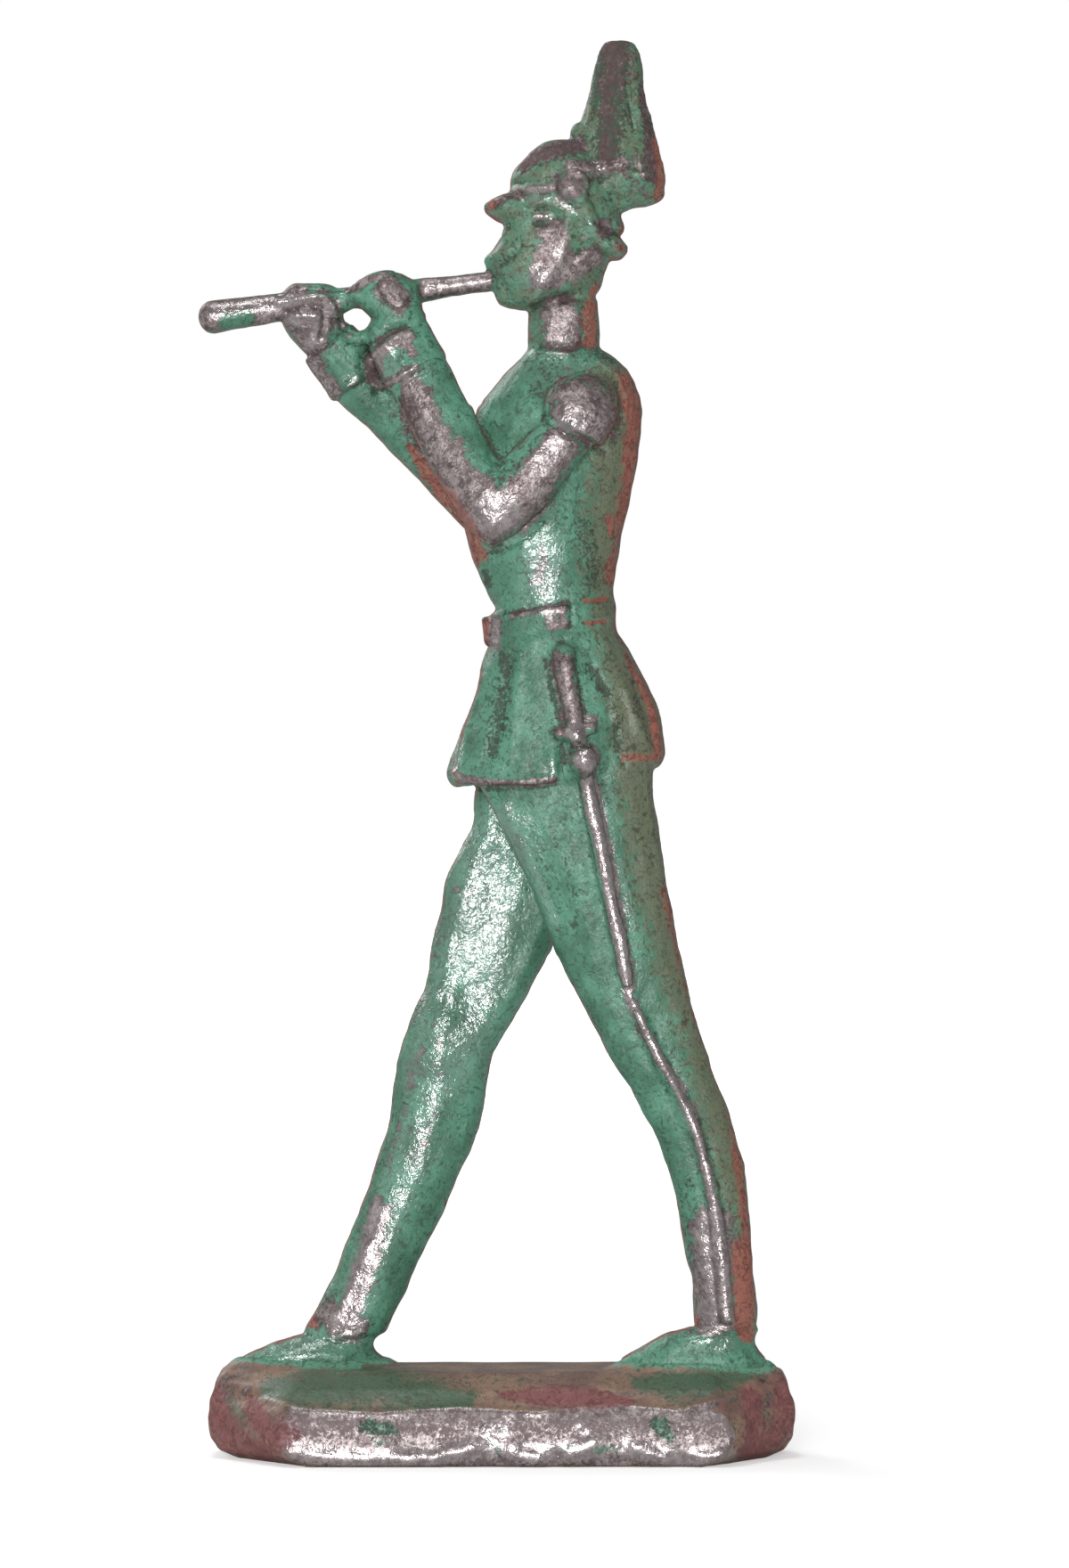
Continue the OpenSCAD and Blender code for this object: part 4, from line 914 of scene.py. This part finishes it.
def worn_paint(name, paint, paint_dark, tone, tone_reach, primer_and_rim_reflection_light, primer_and_rim_reflection_dark, dirt_and_shade_on_metal, relief):
    """Old gloss paint on a cast alloy: worn off where it is rubbed, dirty where it isn't.

    The paint turns to tone, as far as tone_reach from 0 to 1. Dirt and painted shade on bare
    metal are of the colour dirt_and_shade_on_metal. The bumps are relief millimetres high.
    """
    g = Graph(name)
    broad = g.noise(scale=0.5, detail=3, rough=0.6, seed=1)
    patch = g.noise(scale=2.0, detail=6, rough=0.68, seed=2)
    curl = g.noise(scale=2.6, detail=4, rough=0.62, seed=3, curl=1.6)
    speck = g.noise(scale=6.5, detail=3, rough=0.6, seed=4, curl=0.8)
    swirl = g.noise(scale=3.4, detail=2, rough=0.55, seed=5, curl=1.2)

    noises = {"patch": patch, "curl": curl, "speck": speck}
    shifts = {key: g.minus(noise, 0.5) for key, noise in noises.items()}

    def frayed(mask, **shares):
        """A mask whose edge the named noises carry in and out, each by its share."""
        edge = g.mask(mask)
        for key, share in shares.items():
            edge = g.plus(edge, g.times(shifts[key], share))
        return edge

    # Where the metal is bare, the lip of paint around it, and where the paint is leaf green
    leafy = g.span(frayed("leaf", patch=1.4, curl=1.2), 0.4, 0.56)
    edge = frayed("bare", patch=1.3, curl=1.0)
    bare = g.times(g.span(edge, 0.45, 0.55), g.minus(1.0, leafy))
    lip = g.times(g.span(edge, 0.28, 0.46), g.minus(1.0, bare))

    # The paint, turned, curled, speckled and dark at its lip
    coat = g.mix(g.span(broad, 0.35, 0.65), paint, paint_dark)
    toned = g.span(frayed("tone", patch=1.8, curl=0.8), 0.12, 0.88, 0, tone_reach)
    coat = g.mix(leafy, g.mix(toned, coat, tone), LEAF)
    shade = g.mix(toned, GREEN_DIRT, BROWN_DIRT)
    coat = g.mix(g.span(curl, 0.49, 0.66, 0, 0.8), coat, shade)
    coat = g.mix(g.span(speck, 0.54, 0.7, 0, 0.6), coat, shade)
    coat = g.mix(g.times(lip, 0.45), coat, shade)

    # The metal, dark at its rim, and less dirty where it is rubbed, so lighter there: worn-clean
    # metal, and a painted highlight too
    polish_and_highlight = g.mask("polish_and_highlight")
    dirt_outside_highlights = g.span(polish_and_highlight, 0.2, 1, 1, 0.4)
    metal = g.mix(g.span(patch, 0.35, 0.62), DULL_METAL, CLEAN_METAL)
    metal = g.mix(g.span(edge, 0.5, 0.9, 0.55, 0), metal, METAL_RIM)
    metal = g.mix(g.times(dirt_outside_highlights, g.span(curl, 0.47, 0.63, 0, 0.75)), metal, METAL_DIRT)
    metal = g.mix(g.times(dirt_outside_highlights, g.span(speck, 0.52, 0.66, 0, 0.6)), metal, METAL_DIRT)

    # Dirt with painted shade, and primer with a red reflection and shade painted on the edges,
    # lie over both
    skin = g.mix(bare, coat, metal)
    dirt_and_shade = g.span(frayed("dirt_and_shade", speck=1.5, curl=1.1), 0.38, 0.76, 0, 0.85)
    skin = g.mix(dirt_and_shade, skin, g.mix(bare, DIRT_AND_SHADE_ON_PAINT, dirt_and_shade_on_metal))
    primer_and_rim_reflection = g.span(frayed("primer_and_rim_reflection", patch=1.2, curl=1.2), 0.36, 0.78, 0, 0.88)
    skin = g.mix(primer_and_rim_reflection, skin, g.mix(g.span(curl, 0.4, 0.68), primer_and_rim_reflection_light, primer_and_rim_reflection_dark))
    g.link(skin, g.skin.inputs["Base Color"])

    # The gloss: a hard coat, which only the rubbed places keep
    dull = g.math("MAXIMUM", primer_and_rim_reflection, dirt_and_shade)
    clean = g.minus(1.0, dull)
    g.link(g.times(g.times(bare, clean), 0.75), g.skin.inputs["Metallic"])
    painted_rough = g.span(speck, 0.35, 0.65, 0.38, 0.5)
    metal_rough = g.span(speck, 0.35, 0.65, 0.44, 0.58)
    rough = g.blend(bare, painted_rough, metal_rough)
    rough = g.minus(rough, g.times(polish_and_highlight, g.blend(bare, 0.12, 0.24)))
    g.link(g.plus(rough, g.times(dull, 0.3)), g.skin.inputs["Roughness"])
    g.skin.inputs["Specular IOR Level"].default_value = 0.5
    g.link(g.times(clean, g.span(polish_and_highlight, 0.1, 0.7)), g.skin.inputs["Coat Weight"])
    g.skin.inputs["Coat Roughness"].default_value = 0.16
    g.skin.inputs["Coat IOR"].default_value = 1.85

    # The bumps
    high = g.plus(g.times(swirl, 0.75), g.times(patch, 0.25))
    high = g.minus(high, g.times(speck, g.blend(bare, 0.1, 0.14)))
    high = g.minus(high, g.times(curl, 0.2))
    bump = g.add("ShaderNodeBump")
    bump.inputs["Strength"].default_value = 1.0
    bump.inputs["Distance"].default_value = relief * MM
    g.link(high, bump.inputs["Height"])
    g.link(bump.outputs[0], g.skin.inputs["Normal"])
    g.link(bump.outputs[0], g.skin.inputs["Coat Normal"])
    return g.mat


green_paint = worn_paint(
    "green_paint",
    paint=colour(84, 138, 115), paint_dark=colour(64, 109, 87),
    tone=colour(100, 104, 82), tone_reach=0.9,
    primer_and_rim_reflection_light=colour(153, 88, 75), primer_and_rim_reflection_dark=colour(96, 50, 46),
    dirt_and_shade_on_metal=colour(70, 50, 50), relief=0.065,
)
base_paint = worn_paint(
    "base_earth",
    paint=colour(138, 110, 92), paint_dark=colour(112, 82, 74),
    tone=colour(66, 94, 72), tone_reach=0.95,
    primer_and_rim_reflection_light=colour(126, 76, 76), primer_and_rim_reflection_dark=colour(98, 54, 56),
    dirt_and_shade_on_metal=colour(116, 101, 103), relief=0.035,
)

figure.finish(green_paint, figure_nodes)
base.finish(base_paint, ["base_plate"])

# ---------------------------------------------------------------- floor, lamps and camera


FLOOR_RINGS = (0.0001, 0.12, 0.25, 0.4, 0.7, 1.2)  # their radii in metres
FLOOR_SIDES = 48
WHITE, GREY = (1, 1, 1, 1), (0.8, 0.8, 0.8, 1)


def floor():
    """A pale round sheet, which lifts to white with distance so that it has no horizon."""
    turns = [2 * math.pi * i / FLOOR_SIDES for i in range(FLOOR_SIDES)]
    verts = [(r * math.cos(a), r * math.sin(a), 0) for r in FLOOR_RINGS for a in turns]
    mesh = bpy.data.meshes.new("floor")
    mesh.from_pydata(verts, [], bands(len(FLOOR_RINGS), FLOOR_SIDES))
    sheet = bpy.data.objects.new("floor", mesh)
    bpy.context.scene.collection.objects.link(sheet)
    g = Graph("pale_floor")
    g.skin.inputs["Base Color"].default_value = GREY
    g.skin.inputs["Roughness"].default_value = 0.9
    seen = g.add("ShaderNodeLightPath").outputs["Is Camera Ray"]
    far = g.add("ShaderNodeVectorMath", operation="LENGTH")
    g.link(g.mm, far.inputs[0])
    g.skin.inputs["Emission Color"].default_value = WHITE
    lift = g.span(far.outputs["Value"], 60, 420, 0.42, 1.0)  # over these millimetres
    g.link(g.times(seen, lift), g.skin.inputs["Emission Strength"])
    mesh.materials.append(g.mat)


def lamp(name, place, aim, size, watts):
    """A round lamp at a place in metres, turned to its aim."""
    data = bpy.data.lights.new(name, "AREA")
    data.shape = "DISK"
    data.size = size
    data.energy = watts
    thing = bpy.data.objects.new(name, data)
    bpy.context.scene.collection.objects.link(thing)
    thing.location = place
    thing.rotation_euler = (Vector(aim) - Vector(place)).to_track_quat("-Z", "Y").to_euler()


floor()
lamp("key", place=(-0.035, -0.48, 0.08), aim=(0, 0, 0.034), size=0.085, watts=1.6)
lamp("side", place=(-0.42, -0.12, 0.16), aim=(0, 0, 0.035), size=0.25, watts=0.15)
lamp("back", place=(-0.3, 0.36, 0.3), aim=(0, 0, 0.035), size=0.3, watts=0.9)
lamp("top", place=(-0.06, -0.1, 0.5), aim=(0, 0, 0.03), size=0.15, watts=0.6)

# A white sky, which lights the casting with a third of what the camera sees
SKY_LIGHT, SKY_SEEN = 0.32, 1.0
world = bpy.data.worlds.new("studio")
bpy.context.scene.world = world
world.use_nodes = True
tree = world.node_tree
tree.nodes.clear()
sky = tree.nodes.new("ShaderNodeBackground")
sky.inputs["Color"].default_value = WHITE
rays = tree.nodes.new("ShaderNodeLightPath")
level = tree.nodes.new("ShaderNodeMapRange")
level.inputs["To Min"].default_value = SKY_LIGHT
level.inputs["To Max"].default_value = SKY_SEEN
tree.links.new(rays.outputs["Is Camera Ray"], level.inputs["Value"])
tree.links.new(level.outputs[0], sky.inputs["Strength"])
out = tree.nodes.new("ShaderNodeOutputWorld")
tree.links.new(sky.outputs[0], out.inputs[0])

SENSOR = 36  # millimetres
camera = bpy.data.objects.new("camera", bpy.data.cameras.new("camera"))
bpy.context.scene.collection.objects.link(camera)
camera.data.sensor_fit = "VERTICAL"
camera.data.sensor_height = SENSOR
camera.data.lens = SENSOR * EYE / (ROWS * PITCH)
camera.data.clip_start = 0.01
camera.data.clip_end = 20
camera.location = ((COLUMNS / 2 - COLUMN) * PITCH * MM, -EYE * MM, HEIGHT * MM)
camera.rotation_euler = (math.pi / 2 - math.atan((ROWS / 2 - ROW) * PITCH / EYE), 0, 0)
bpy.context.scene.camera = camera
bpy.context.scene.view_settings.view_transform = "Standard"
